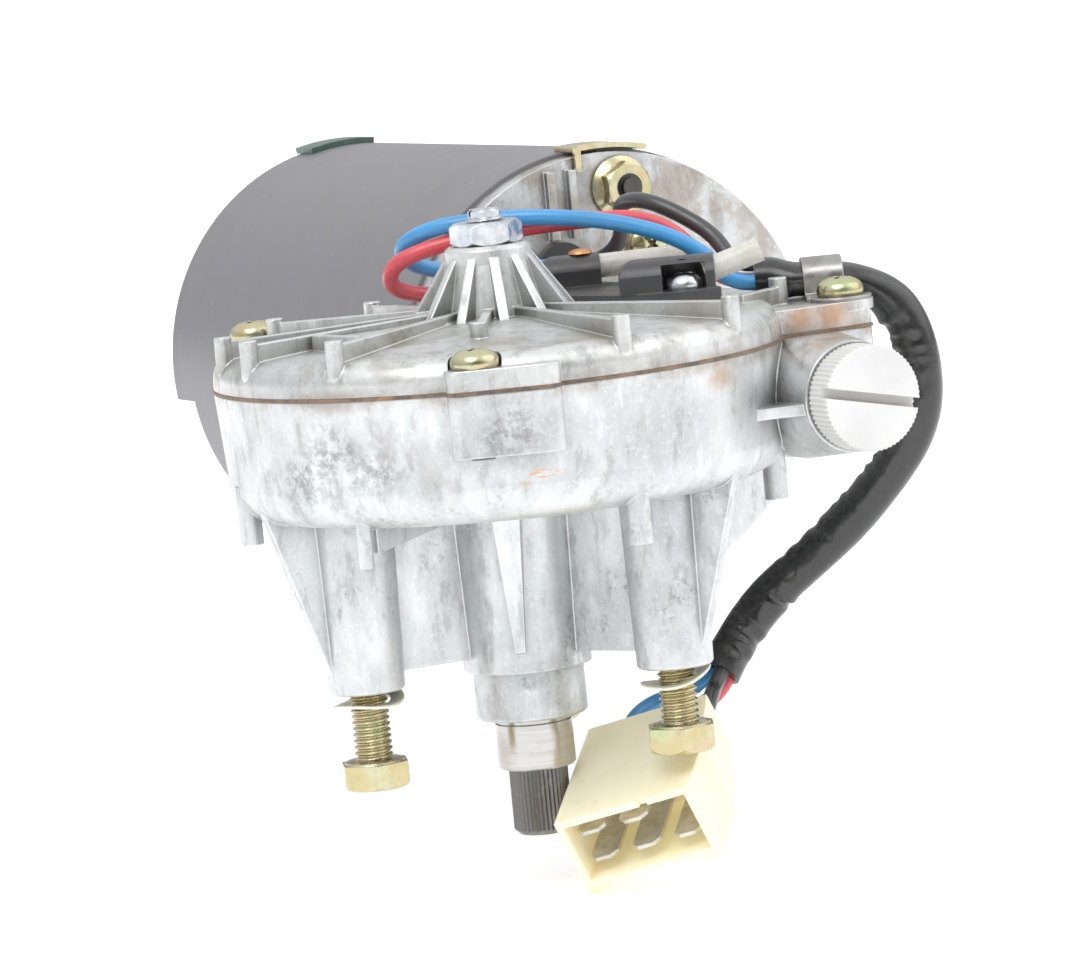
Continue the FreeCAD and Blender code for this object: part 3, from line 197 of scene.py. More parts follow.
def cast_skin(f):
    """Die-cast aluminium: cloudy oxide, fine frost, flow marks, pinholes, and a mask of the edges for
    painted highlights.
    """
    edges = f.round_edges(0.55, 6)
    cloud = f.noise(16, 6, 0.65)
    frost = f.noise(0.42, 3, 0.6)
    drawn = f.noise(2.2, 5, 0.7, stretch=(1, 1, 0.35))
    f.paint(f.fit(cloud, 0.42, 0.66), (0.44, 0.46, 0.465), 0.75)
    f.paint(f.fit(f.noise(5, 6, 0.75, distortion=0.6), 0.54, 0.72), (0.40, 0.42, 0.42), 0.45)
    f.paint(f.fit(drawn, 0.50, 0.68), (0.80, 0.82, 0.82), 0.40)
    f.paint(f.fit(drawn, 0.47, 0.36), (0.27, 0.275, 0.27), 0.5)
    specks = f.fit(f.noise(0.8, 5, 0.75), 0.50, 0.62)
    smudge = f.maths("MULTIPLY", specks, f.fit(f.noise(10, 4, 0.6), 0.54, 0.64))
    f.paint(smudge, (0.17, 0.165, 0.155), 0.55)
    f.paint(f.fit(frost, 0.56, 0.68), (0.88, 0.90, 0.91), 0.30)
    f.dull(f.fit(cloud, 0.35, 0.7), 0.52)
    f.dull(f.fit(drawn, 0.55, 0.68), 0.32)
    f.relief(frost, 0.05, 0.8)
    f.relief(drawn, 0.09, 0.6)
    f.relief(f.noise(9, 3, 0.5, stretch=(1, 1, 0.5)), 0.35, 0.6)
    pits = f.maths("MULTIPLY", f.fit(f.cells(3.2), 0.12, 0.04), f.fit(f.noise(9), 0.58, 0.66))
    f.paint(pits, (0.16, 0.15, 0.14), 0.5)
    return edges


def cast_housing():
    f = Finish("cast_housing", (0.62, 0.635, 0.635), 0.38, 0.95)
    edges = cast_skin(f)
    z = f.along(2)
    film = f.fit(f.noise(11, 6, 0.68, stretch=(1, 1, 0.6), distortion=0.8), 0.53, 0.66)
    wall = f.fit(z, 0.036, 0.045)
    f.paint(f.maths("MULTIPLY", film, wall), (0.27, 0.26, 0.24), 0.38)
    dirty = (((-51, -28, 51), 9), ((-55, -19, 46), 8), ((-45, -37, 48.5), 7), ((-24, -56, 55), 8))
    for spot, reach in dirty:
        broken = f.fit(f.noise(1.1, 5, 0.75), 0.42, 0.6)
        patch = f.maths("MULTIPLY", f.near(spot, reach * 0.6, reach * 0.7), broken)
        f.paint(patch, (0.16, 0.16, 0.15), 0.7)
    for spot, reach in (((52, -44, 60), 6), ((60, -38, 60), 7), ((24, -54, 59), 6)):
        f.paint(f.near(spot, reach * 0.6, reach * 0.5, (1, 1, 1.6)), (0.40, 0.22, 0.09), 0.65)
    scratch = f.near((-19.4, -55.0, 44.9), 2.6, 0.7, (0.45, 0.8, 1.8))
    scratch = f.maths("MULTIPLY", scratch, f.fit(f.noise(1.2, 2, 0.5, stretch=(0.3, 1, 2.2)), 0.50, 0.58))
    f.paint(scratch, (0.72, 0.33, 0.14), 0.9)
    line = f.fit(z, 0.0592, 0.0618)
    f.paint(f.maths("MULTIPLY", line, f.fit(f.noise(6, 5, 0.7), 0.42, 0.6)), (0.26, 0.19, 0.12), 0.55)
    # Painted shade in the corners and under edges, then painted highlights on the edges.
    f.paint(f.crevice(4), (0.13, 0.125, 0.11), 0.75)
    f.paint(edges, (0.80, 0.81, 0.82), 0.7)
    f.dull(edges, 0.3)
    return f.done()


def cast_cover():
    f = Finish("cast_cover", (0.63, 0.635, 0.62), 0.36, 0.95)
    edges = cast_skin(f)
    z = f.along(2)
    oily = f.fit(f.noise(9, 6, 0.66, distortion=1.2), 0.50, 0.66)
    f.paint(f.maths("MULTIPLY", oily, f.fit(z, 0.0735, 0.0715)), (0.27, 0.25, 0.20), 0.5)
    for spot, reach in (((-2, -50, 70), 9), ((-18, -40, 70.5), 8), ((24, -42, 70), 8), ((-30, -20, 71), 7)):
        f.paint(f.near(spot, reach * 0.6, reach * 0.6), (0.33, 0.28, 0.19), 0.5)
    for spot, reach in (((62, -31, 66), 6), ((54, -30, 66), 5)):
        f.paint(f.near(spot, reach * 0.6, reach * 0.5), (0.42, 0.19, 0.06), 0.75)
    line = f.fit(z, 0.0655, 0.0632)
    f.paint(f.maths("MULTIPLY", line, f.fit(f.noise(6, 5, 0.7), 0.42, 0.6)), (0.26, 0.19, 0.12), 0.5)
    # Painted shade in the corners and under edges, then painted highlights on the edges.
    f.paint(f.crevice(4), (0.12, 0.115, 0.09), 0.8)
    f.paint(edges, (0.80, 0.81, 0.82), 0.7)
    f.dull(edges, 0.3)
    return f.done()


def yellow_zinc():
    """Yellow passivation, with its drifts of green and pink."""
    f = Finish("yellow_zinc", (0.49, 0.41, 0.20), 0.20, 1.0)
    edges = f.round_edges(0.25)
    f.paint(f.fit(f.noise(3.5, 3, 0.6), 0.40, 0.62), (0.52, 0.48, 0.29))
    f.paint(f.fit(f.noise(4.2, 3, 0.5, distortion=1.0), 0.52, 0.70), (0.62, 0.38, 0.28), 0.5)
    f.paint(f.fit(f.noise(4.8, 3, 0.5), 0.50, 0.68), (0.38, 0.50, 0.24), 0.6)
    # Painted shade in the corners, then painted highlights on the edges.
    f.paint(f.crevice(2), (0.16, 0.11, 0.05), 0.75)
    f.paint(edges, (0.88, 0.83, 0.66), 0.6)
    f.dull(f.fit(f.noise(1.2, 4), 0.4, 0.7), 0.32)
    f.relief(f.noise(0.5, 3), 0.01, 0.5)
    return f.done()


def bright_zinc():
    f = Finish("bright_zinc", (0.62, 0.65, 0.68), 0.18, 1.0)
    edges = f.round_edges(0.22)
    f.paint(f.fit(f.noise(3.0, 4, 0.6), 0.42, 0.66), (0.44, 0.48, 0.53))
    f.paint(f.fit(f.noise(1.6, 4, 0.65), 0.60, 0.72), (0.70, 0.68, 0.60), 0.5)
    # Painted shade in the corners, then painted highlights on the edges.
    f.paint(f.crevice(2), (0.24, 0.23, 0.21), 0.6)
    f.paint(edges, (0.88, 0.89, 0.90), 0.6)
    f.dull(f.fit(f.noise(1.0, 4), 0.4, 0.7), 0.36)
    f.relief(f.noise(0.45, 3), 0.02, 0.45)
    return f.done()


def washer_zinc():
    """The spring washers' pale, slightly yellow zinc."""
    f = Finish("washer_zinc", (0.86, 0.83, 0.70), 0.36, 0.45)
    f.paint(f.fit(f.noise(2.2, 4, 0.6), 0.45, 0.65), (0.70, 0.66, 0.50), 0.7)
    f.dull(f.fit(f.noise(1.0, 4), 0.4, 0.7), 0.5)
    f.relief(f.noise(0.45, 3), 0.02, 0.4)
    return f.done()


def grey_zinc():
    """The clamp's dull zinc, with painted highlights on its edges and painted shade in its corners."""
    f = Finish("grey_zinc", (0.30, 0.295, 0.28), 0.30, 1.0)
    edges = f.round_edges(0.25)
    f.paint(f.fit(f.noise(4, 5, 0.65), 0.42, 0.62), (0.22, 0.215, 0.20), 0.8)
    # Painted shade in the corners, then painted highlights on the edges.
    f.paint(f.crevice(3), (0.14, 0.13, 0.11), 0.6)
    f.paint(edges, (0.80, 0.80, 0.78), 0.7)
    f.dull(f.fit(f.noise(1.4, 4), 0.4, 0.7), 0.5)
    f.relief(f.noise(0.6, 3), 0.03, 0.5)
    return f.done()


def can_paint():
    """Satin paint over a drawn steel can: drawing lines round it, fine grain, scuffs and dust."""
    f = Finish("can_paint", (0.112, 0.109, 0.118), 0.38, 0.0, Specular_IOR_Level=0.55)
    edges = f.round_edges(0.5)
    bands = f.noise(3.0, 4, 0.6, stretch=(0.02, 1.0, 0.02))
    f.paint(f.fit(bands, 0.40, 0.64), (0.122, 0.119, 0.127), 0.5)
    f.dull(f.fit(f.noise(22, 5, 0.6), 0.45, 0.7), 0.43)
    f.paint(f.fit(f.noise(0.7, 3, 0.6), 0.66, 0.78), (0.16, 0.16, 0.165), 0.3)
    chips = f.maths("MULTIPLY", f.fit(f.cells(9), 0.10, 0.04), f.fit(f.noise(30), 0.5, 0.6))
    f.paint(chips, (0.30, 0.30, 0.30), 0.5)
    # Painted highlights on the edges.
    f.paint(edges, (0.22, 0.22, 0.22), 0.5)
    f.relief(f.noise(0.9, 3, 0.5), 0.025, 0.5)
    f.relief(bands, 0.012, 0.3)
    return f.done()


def steel(name, colour, roughness, axis, worn=None):
    """Turned or ground steel, with fine lines across an axis."""
    f = Finish(name, colour, roughness, 1.0)
    edges = f.round_edges(0.2)
    stretch = [0.03, 0.03, 0.03]
    stretch[axis] = 1.0
    lines = f.noise(0.35, 3, 0.7, stretch=stretch)
    f.paint(f.fit(lines, 0.40, 0.65), [c * 0.8 for c in colour], 0.45)
    f.paint(f.fit(f.noise(5, 4, 0.6), 0.52, 0.72), worn or [c * 0.6 for c in colour], 0.4)
    # Painted highlights on the edges.
    f.paint(edges, [min(1.0, c * 1.3) for c in colour], 0.6)
    f.dull(f.fit(lines, 0.4, 0.7), min(1.0, roughness + 0.08))
    f.relief(lines, 0.006, 0.4)
    return f


def shaft_steel():
    """Ground journal above, blackened serrations below."""
    f = steel("shaft_steel", (0.50, 0.485, 0.46), 0.18, 2)
    z = f.along(2)
    f.paint(f.near((-8, 0, -17), 3.5, 2.5), (0.26, 0.22, 0.17), 0.5)
    dark = f.fit(z, -0.0210, -0.0212)
    f.paint(dark, (0.13, 0.127, 0.122))
    f.dull(dark, 0.38)
    end = f.fit(z, -0.0335, -0.0345)
    f.paint(f.maths("MULTIPLY", end, f.fit(f.noise(1.5, 4), 0.4, 0.6)), (0.24, 0.235, 0.22), 0.8)
    f.paint(f.maths("MULTIPLY", dark, f.fit(f.noise(0.8, 4), 0.58, 0.70)), (0.22, 0.21, 0.19), 0.7)
    return f.done()


def plain_metal(name, colour, roughness, grain=2.5, axis=None):
    """An inner metal piece: mottled, with painted highlights at its edges and painted shade in its corners.
    """
    if axis is not None:
        return steel(name, colour, roughness, axis).done()
    f = Finish(name, colour, roughness, 1.0)
    edges = f.round_edges(0.2)
    f.paint(f.fit(f.noise(grain, 5, 0.62), 0.42, 0.66), [c * 0.7 for c in colour], 0.8)
    # Painted shade in the corners, then painted highlights on the edges.
    f.paint(f.crevice(2), [c * 0.3 for c in colour], 0.6)
    f.paint(edges, [min(1.0, c * 1.3) for c in colour], 0.5)
    f.dull(f.fit(f.noise(grain * 0.4, 4), 0.4, 0.7), min(1.0, roughness + 0.15))
    f.relief(f.noise(0.5, 3), 0.02, 0.5)
    return f.done()


def windings():
    """Enamelled copper wire, lying in turns along the motor."""
    f = Finish("windings", (0.50, 0.20, 0.07), 0.28, 0.75, Coat_Weight=0.5, Coat_Roughness=0.2)
    f.relief(f.fit(f.noise(0.5, 2, 0.4, stretch=(1.0, 0.05, 1.0)), 0.35, 0.65), 0.3, 0.8)
    f.paint(f.fit(f.noise(2.0, 4), 0.45, 0.65), (0.34, 0.11, 0.035))
    # Painted shade in the corners.
    f.paint(f.crevice(2), (0.08, 0.03, 0.01), 0.7)
    return f.done()


def moulding(name, colour, roughness, dirt_and_shade, speck=0.4, **sockets):
    """A moulded plastic or rubber piece: fine grain, slight colour drift, specks of dirt, and its corners
    painted, as painted shade on light pieces and as dust on dark ones.
    """
    f = Finish(name, colour, roughness, 0.0, **sockets)
    edges = f.round_edges(0.3)
    f.paint(f.fit(f.noise(8, 4, 0.55), 0.42, 0.66), [c * 0.86 for c in colour], 0.7)
    # Corners painted in the given corner colour: painted shade on pieces lighter than it, dust on darker
    # pieces.
    f.paint(f.crevice(2.5), dirt_and_shade, 0.6)
    f.paint(f.fit(f.noise(1.3, 5, 0.7), 0.66, 0.76), dirt_and_shade, speck)
    f.dull(f.fit(f.noise(3.5, 4), 0.4, 0.7), min(1.0, roughness + 0.13))
    f.relief(f.noise(0.5, 3), 0.02, 0.5)
    return f, edges


def black_plastic():
    f, edges = moulding("black_plastic", (0.022, 0.022, 0.024), 0.34, (0.10, 0.095, 0.085), 0.25)
    # Painted highlights on the edges.
    f.paint(edges, (0.10, 0.10, 0.105), 0.5)
    return f.done()


def white_plastic():
    f, _ = moulding("white_plastic", (0.66, 0.66, 0.645), 0.42, (0.34, 0.31, 0.26), 0.10)
    f.shader.inputs["Subsurface Weight"].default_value = 0.15
    f.shader.inputs["Subsurface Radius"].default_value = (0.002, 0.002, 0.0015)
    f.shader.inputs["Subsurface Scale"].default_value = 1.0
    return f.done()


def nylon():
    """Natural nylon, slightly clear, with brown grime in it, painted shade in its corners, painted
    highlights on its edges and a faint painted glow.
    """
    f, edges = moulding("nylon", (0.94, 0.84, 0.58), 0.32, (0.50, 0.33, 0.13), 0.55)
    f.shader.inputs["Subsurface Weight"].default_value = 0.6
    # A faint warm painted glow, standing for light passing through the nylon.
    f.shader.inputs["Emission Color"].default_value = (1.0, 0.86, 0.56, 1.0)
    f.shader.inputs["Emission Strength"].default_value = 0.10
    f.shader.inputs["Subsurface Radius"].default_value = (0.005, 0.0042, 0.0025)
    f.shader.inputs["Subsurface Scale"].default_value = 1.0
    f.paint(f.fit(f.noise(4, 5, 0.7, distortion=1.0), 0.60, 0.74), (0.62, 0.46, 0.22), 0.4)
    # Painted highlights on the edges.
    f.paint(edges, (0.95, 0.91, 0.72), 0.6)
    return f.done()


def milky_sleeve():
    f = Finish("milky_sleeve", (0.84, 0.83, 0.77), 0.25, 0.0, Transmission_Weight=0.45, IOR=1.4)
    f.paint(f.fit(f.noise(3.5, 4, 0.6), 0.45, 0.65), (0.70, 0.68, 0.58), 0.7)
    f.paint(f.fit(f.noise(1.0, 5, 0.7), 0.64, 0.74), (0.45, 0.36, 0.22), 0.4)
    f.dull(f.fit(f.noise(1.8, 4), 0.4, 0.7), 0.42)
    f.relief(f.noise(1.4, 3), 0.12, 0.5)
    return f.done()


def tin():
    f = Finish("tin", (0.66, 0.65, 0.60), 0.42, 0.8)
    edges = f.round_edges(0.12)
    f.paint(f.fit(f.noise(1.6, 5, 0.7), 0.44, 0.62), (0.46, 0.44, 0.38), 0.7)
    f.paint(f.fit(f.noise(2.6, 4, 0.6), 0.58, 0.70), (0.36, 0.27, 0.16), 0.4)
    # Painted highlights on the edges.
    f.paint(edges, (0.72, 0.70, 0.66), 0.7)
    f.dull(f.fit(f.noise(0.8, 4), 0.4, 0.7), 0.5)
    f.relief(f.noise(0.4, 3), 0.03, 0.6)
    return f.done()


def vinyl():
    """The cable's sleeve: glossy, with dust caught in its creases."""
    f = Finish("vinyl", (0.006, 0.006, 0.0065), 0.20, 0.0, Specular_IOR_Level=0.5)
    f.paint(f.fit(f.noise(3, 5, 0.65), 0.50, 0.70), (0.011, 0.0105, 0.010))
    f.paint(f.crevice(2.5), (0.06, 0.055, 0.045), 0.5)
    f.paint(f.fit(f.noise(0.9, 4, 0.7), 0.70, 0.80), (0.10, 0.095, 0.085), 0.3)
    f.dull(f.fit(f.noise(2.2, 5, 0.65), 0.42, 0.68), 0.33)
    f.relief(f.noise(2.6, 4, 0.55), 0.22, 0.55)
    f.relief(f.noise(0.4, 2), 0.015, 0.4)
    return f.done()


def wire(name, colour):
    f = Finish(name, colour, 0.30, 0.0, Specular_IOR_Level=0.55)
    f.paint(f.fit(f.noise(5, 4, 0.6), 0.42, 0.68), [c * 0.78 + 0.005 for c in colour], 0.8)
    f.paint(f.fit(f.noise(1.1, 5, 0.7), 0.64, 0.76), [0.5 * c + 0.12 for c in colour], 0.3)
    f.dull(f.fit(f.noise(1.6, 4), 0.4, 0.7), 0.44)
    f.relief(f.noise(1.8, 3), 0.05, 0.5)
    return f.done()


def gasket():
    f = Finish("gasket", (0.17, 0.10, 0.06), 0.7)
    f.paint(f.fit(f.noise(2.5, 5, 0.7), 0.42, 0.6), (0.06, 0.035, 0.02))
    f.paint(f.fit(f.noise(5, 4, 0.6), 0.55, 0.7), (0.36, 0.17, 0.06), 0.7)
    f.dull(f.fit(f.noise(2.5, 4), 0.4, 0.7), 0.4)
    f.relief(f.noise(0.4, 3), 0.05, 0.6)
    return f.done()


def green_steel():
    f = Finish("green_steel", (0.030, 0.070, 0.052), 0.38, 0.2)
    edges = f.round_edges(0.3)
    f.paint(f.fit(f.noise(3, 5, 0.6), 0.45, 0.66), (0.055, 0.11, 0.085))
    # Painted highlights on the edges.
    f.paint(edges, (0.30, 0.33, 0.30), 0.5)
    f.paint(f.fit(f.noise(0.8, 4, 0.7), 0.66, 0.78), (0.32, 0.34, 0.31), 0.4)
    f.dull(f.fit(f.noise(2, 4), 0.4, 0.7), 0.52)
    f.relief(f.noise(0.8, 3), 0.03, 0.5)
    return f.done()


def magnet():
    f, edges = moulding("magnet", (0.07, 0.07, 0.072), 0.6, (0.04, 0.04, 0.04), 0.3)
    # Painted highlights on the edges.
    f.paint(edges, (0.16, 0.16, 0.16), 0.5)
    return f.done()


def laminate():
    f, _ = moulding("laminate", (0.30, 0.16, 0.06), 0.42, (0.10, 0.06, 0.03), 0.3)
    f.relief(f.noise(0.6, 2, stretch=(1, 0.2, 0.2)), 0.04, 0.5)
    return f.done()


def stacked_steel():
    """The rotor's laminations: half-millimetre sheets, seen edge on."""
    f = Finish("stacked_steel", (0.34, 0.34, 0.35), 0.36, 1.0)
    scale = 0.6 / (SHEET * MM * 2 * math.pi)
    wave = f.node("TexWave", {"Vector": f.place, "Scale": scale}, bands_direction="Y")
    sheets = f.fit(wave.outputs["Fac"], 0.15, 0.4)
    f.paint(sheets, (0.46, 0.46, 0.47))
    f.paint(f.fit(f.noise(4, 5), 0.52, 0.7), (0.24, 0.18, 0.12), 0.4)
    f.relief(sheets, 0.05, 0.5)
    return f.done()


def make_finishes():
    made = {
        "housing": cast_housing(),
        "cover": cast_cover(),
        "yellow": yellow_zinc(),
        "bright": bright_zinc(),
        "clamp": grey_zinc(),
        "washer": washer_zinc(),
        "can": can_paint(),
        "green": green_steel(),
        "shaft": shaft_steel(),
        "gasket": gasket(),
        "windings": windings(),
        "black_plastic": black_plastic(),
        "white_plastic": white_plastic(),
        "nylon": nylon(),
        "milky": milky_sleeve(),
        "tin": tin(),
        "vinyl": vinyl(),
        "blue": wire("wire_blue", (0.028, 0.245, 0.58)),
        "red": wire("wire_red", (0.62, 0.040, 0.055)),
        "black": wire("wire_black", (0.013, 0.013, 0.014)),
        "magnet": magnet(),
        "laminate": laminate(),
        "stack": stacked_steel(),
        "rubber": moulding("rubber", (0.02, 0.02, 0.02), 0.55, (0.09, 0.08, 0.07))[0].done(),
        "carbon": moulding("carbon", (0.035, 0.035, 0.036), 0.5, (0.02, 0.02, 0.02))[0].done(),
    }
    metals = {
        "black_steel": ((0.075, 0.07, 0.066), 0.36, 2.0),
        "bronze": ((0.60, 0.42, 0.20), 0.32, 3.0),
        "copper": ((0.72, 0.36, 0.19), 0.28, 3.0),
        "rivet": ((0.62, 0.25, 0.10), 0.36, 1.2),
        "spring": ((0.60, 0.58, 0.54), 0.25, 1.0),
        "ground": ((0.64, 0.63, 0.61), 0.20, 2.5),
    }
    for name, (colour, roughness, grain) in metals.items():
        made[name] = plain_metal(name, colour, roughness, grain)
    made["motor_steel"] = plain_metal("motor_steel", (0.62, 0.61, 0.59), 0.22, axis=1)
    return made


FINISHES = make_finishes()
NODE_FINISHES = {
    "housing": "gear_housing",
    "cover": "gear_cover",
    "gasket": "cover_gasket",
    "yellow": "cover_screws can_clip_front flange_nuts flange_screws",
    "bright": "lock_nut park_switch_screw",
    "clamp": "cable_clamp",
    "can": "motor_can rear_end_cap",
    "green": "can_clip_rear",
    "shaft": "output_shaft",
    "motor_steel": "armature_shaft",
    "ground": "bearing_outer_race bearing_inner_race bearing_balls thrust_ball thrust_washer",
    "black_steel": "through_bolts wheel_hub retaining_ring",
    "bronze": "brush_boxes front_bush rear_bush output_bush_lower output_bush_upper worm_wheel",
    "copper": "contact_disc contact_fingers commutator",
    "windings": "armature_windings",
    "stack": "lamination_stack",
    "magnet": "field_magnets",
    "laminate": "brush_plate",
    "carbon": "carbon_brushes",
    "spring": "brush_springs",
    "white_plastic": "worm_end_plug thrust_pad",
    "black_plastic": "park_switch",
    "rubber": "output_seal lead_grommet",
    "rivet": "terminal_rivet",
    "milky": "terminal_sleeves",
    "nylon": "connector_housing",
    "tin": "connector_blades",
}


def paint_nodes():
    for finish, names in NODE_FINISHES.items():
        for name in names.split():
            node = NODES[name]
            if not node.data.materials:
                node.data.materials.append(None)
            for slot in node.material_slots:
                slot.material = FINISHES[finish]


# Mesh pieces -----------------------------------------------------------------------------------


def piece(name, verts, faces, finish, body, slot, *nodes, place=None, smooth=35):
    """A mesh piece from points in millimetres, which stands for CAD nodes where they are named."""
    mesh = bpy.data.meshes.new(name)
    mesh.from_pydata([tuple(c * MM for c in v) for v in verts], [], faces)
    mesh.validate()
    if place is not None:
        mesh.transform(place)
    mesh.update()
    thing = bpy.data.objects.new(name, mesh)
    bpy.context.scene.collection.objects.link(thing)
    mesh.materials.append(FINISHES[finish])
    mesh.polygons.foreach_set("use_smooth", [True] * len(mesh.polygons))
    mesh.set_sharp_from_angle(angle=math.radians(smooth))
    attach(thing, body)
    if nodes:
        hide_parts(*nodes)
    return thing


def grid_faces(rows, columns, start=0):
    """Quads over closed rings, one after another."""
    faces = []
    for i in range(rows - 1):
        for j in range(columns):
            k = (j + 1) % columns
            a, b = start + i * columns, start + (i + 1) * columns
            faces.append((a + j, a + k, b + k, b + j))
    return faces


def rings(profile, radius_at, columns):
    """A closed turned body. The profile is (inset from the outer radius, z), from bottom to top."""
    verts, count = [], len(profile)
    for inset, z in profile:
        for j in range(columns):
            angle = 2 * math.pi * j / columns
            r = radius_at(angle) * inset
            verts.append((r * math.cos(angle), r * math.sin(angle), z))
    faces = grid_faces(count, columns)
    faces.append(tuple(reversed(range(columns))))
    faces.append(tuple(range((count - 1) * columns, count * columns)))
    return verts, faces


def hex_radius(across):
    def radius(angle):
        part = (angle + math.pi / 6) % (math.pi / 3) - math.pi / 6
        return across / 2 / math.cos(part)

    return radius


def hex_body(across, height, top_bevel=1.1, bottom_bevel=0.0, columns=120):
    """A hexagon whose corners fall away under a turned chamfer, and a slightly dished face."""
    flat, corner = across / 2, across / math.sqrt(3)
    radius = hex_radius(across)
    verts, levels = [], (0.0, 0.12, 0.5, 0.88, 1.0)
    for level in levels:
        for j in range(columns):
            angle = 2 * math.pi * j / columns
            r = radius(angle)
            over = (r - flat) / (corner - flat)
            low = bottom_bevel * (0.12 + over)
            high = height - top_bevel * (0.12 + over)
            verts.append((r * math.cos(angle), r * math.sin(angle), low + (high - low) * level))
    for r, z in ((flat * 0.955, height), (flat * 0.80, height), (flat * 0.76, height - 0.18)):
        verts += [(r * math.cos(2 * math.pi * j / columns), r * math.sin(2 * math.pi * j / columns), z)
                  for j in range(columns)]
    faces = grid_faces(len(levels) + 3, columns)
    faces.append(tuple(reversed(range(columns))))
    faces.append(tuple(range(len(verts) - columns, len(verts))))
    return verts, faces


def thread(radius, pitch, z0, z1, depth=0.62, columns=40, steps=10):
    """A rod with a true right-hand thread, which fades out at each end."""
    verts, rows = [], int((z1 - z0) / pitch * steps) + 1
    for i in range(rows):
        z = z0 + (z1 - z0) * i / (rows - 1)
        lead = min(1.0, (z - z0) / (0.6 * pitch), (z1 - z) / (0.6 * pitch))
        for j in range(columns):
            angle = 2 * math.pi * j / columns
            phase = ((z - z0) / pitch - j / columns) % 1.0
            groove = min(1.0, max(0.0, 1.25 - abs(phase - 0.5) * 2 * 1.5))
            r = radius - depth * (1.0 if lead < 0.3 else groove)
            if lead < 1.0:
                r = min(r, radius - depth * (1 - lead) * 0.8)
            verts.append((r * math.cos(angle), r * math.sin(angle), z))
    faces = grid_faces(rows, columns)
    faces.append(tuple(reversed(range(columns))))
    faces.append(tuple(range((rows - 1) * columns, rows * columns)))
    return verts, faces


def combined(*parts):
    verts, faces = [], []
    for part_verts, part_faces in parts:
        start = len(verts)
        verts += part_verts
        faces += [tuple(start + i for i in face) for face in part_faces]
    return verts, faces


def shifted(part, x=0.0, y=0.0, z=0.0, spin=0.0, flip=False):
    """A part turned about Z, stood on its head if asked, and moved."""
    verts, faces = part
    c, s = math.cos(math.radians(spin)), math.sin(math.radians(spin))
    moved = []
    for a, b, h in verts:
        if flip:
            b, h = -b, -h
        moved.append((x + a * c - b * s, y + a * s + b * c, z + h))
    return moved, faces


BOSSES = [(36.25 * math.cos(math.radians(a)), 36.25 * math.sin(math.radians(a))) for a in (60, 180, 300)]


def mounting_bolts():
    """Hex bolts with true threads, hanging in their bosses as the photograph shows them."""
    parts = []
    for (x, y), seat in zip(BOSSES, (-12.2, -14.6, -12.2)):
        parts.append(shifted(hex_body(13, 5.3), x, y, seat, 17 + x, flip=True))
        collar = rings([(1, -0.3), (1, 0.35), (0.82, 0.6)], lambda angle: 6.1, 72)
        parts.append(shifted(collar, x, y, seat))
        parts.append(shifted(thread(3.95, 1.25, 0.2, 33), x, y, seat, 40 + x))
    verts, faces = combined(*parts)
    piece("mounting_bolts_threaded", verts, faces, "yellow", "frame", "yellow_zinc", "mounting_bolts")


def spring_washers():
    """Split washers, each bent about one axis, loose on the bolts."""
    parts = []
    leans = (((0.4, 0.9), 7, 1.1), ((-0.5, 0.85), -6, 1.5), ((0.42, 0.9), -9, 1.7))
    for (x, y), ((ax, ay), lean, bow), z in zip(BOSSES, leans, (-2.9, -2.2, -2.9)):
        turn = Matrix.Rotation(math.radians(lean), 3, Vector((ax, ay, 0)))
        verts, columns = [], 60
        section = ((4.45, -0.3), (7.2, -0.3), (7.4, -0.1), (7.4, 0.1), (7.2, 0.3), (4.45, 0.3))
        for i in range(columns + 1):
            angle = math.radians(60 + 6) + (2 * math.pi - math.radians(12)) * i / columns
            for r, h in section:
                px, py = r * math.cos(angle), r * math.sin(angle)
                across = (px * ay - py * ax) / 7.4
                rise = bow * across * across - bow * 0.4 + 0.5 * (i / columns - 0.5)
                verts.append(tuple(turn @ Vector((px, py, h + rise)) + Vector((x, y, z))))
        size = len(section)
        faces = grid_faces(columns + 1, size)
        faces.append(tuple(reversed(range(size))))
        faces.append(tuple(range(columns * size, (columns + 1) * size)))
        parts.append((verts, [tuple(reversed(face)) for face in faces]))
    verts, faces = combined(*parts)
    piece("spring_washers_bent", verts, faces, "washer", "frame", "white_zinc", "spring_washers")


def adjuster_stud():
    """The end-float screw, with a true thread and a slot in its top."""
    verts, faces = thread(3.95, 1.25, 68.7, 92.9)
    piece("adjuster_stud_threaded", verts, faces, "bright", "frame", "white_zinc", "adjuster_stud")
    tip = []
    for side in (-1, 1):
        ring, count = [], 24
        start = math.asin(0.6 / 3.4)
        for r, z in ((3.35, 92.6), (3.35, 93.8), (2.9, 94.3)):
            for j in range(count + 1):
                angle = start + (math.pi - 2 * start) * j / count
                ring.append((r * math.cos(angle), side * r * math.sin(angle), z))
        size = count + 1
        sides = grid_faces(3, size)
        sides.append(tuple(reversed(range(size))))
        sides.append(tuple(range(2 * size, 3 * size)))
        if side < 0:
            sides = [tuple(reversed(face)) for face in sides]
        tip.append((ring, sides))
    verts, faces = combined(*tip)
    piece("adjuster_stud_tip", verts, faces, "bright", "frame", "white_zinc")


# Cables ----------------------------------------------------------------------------------------

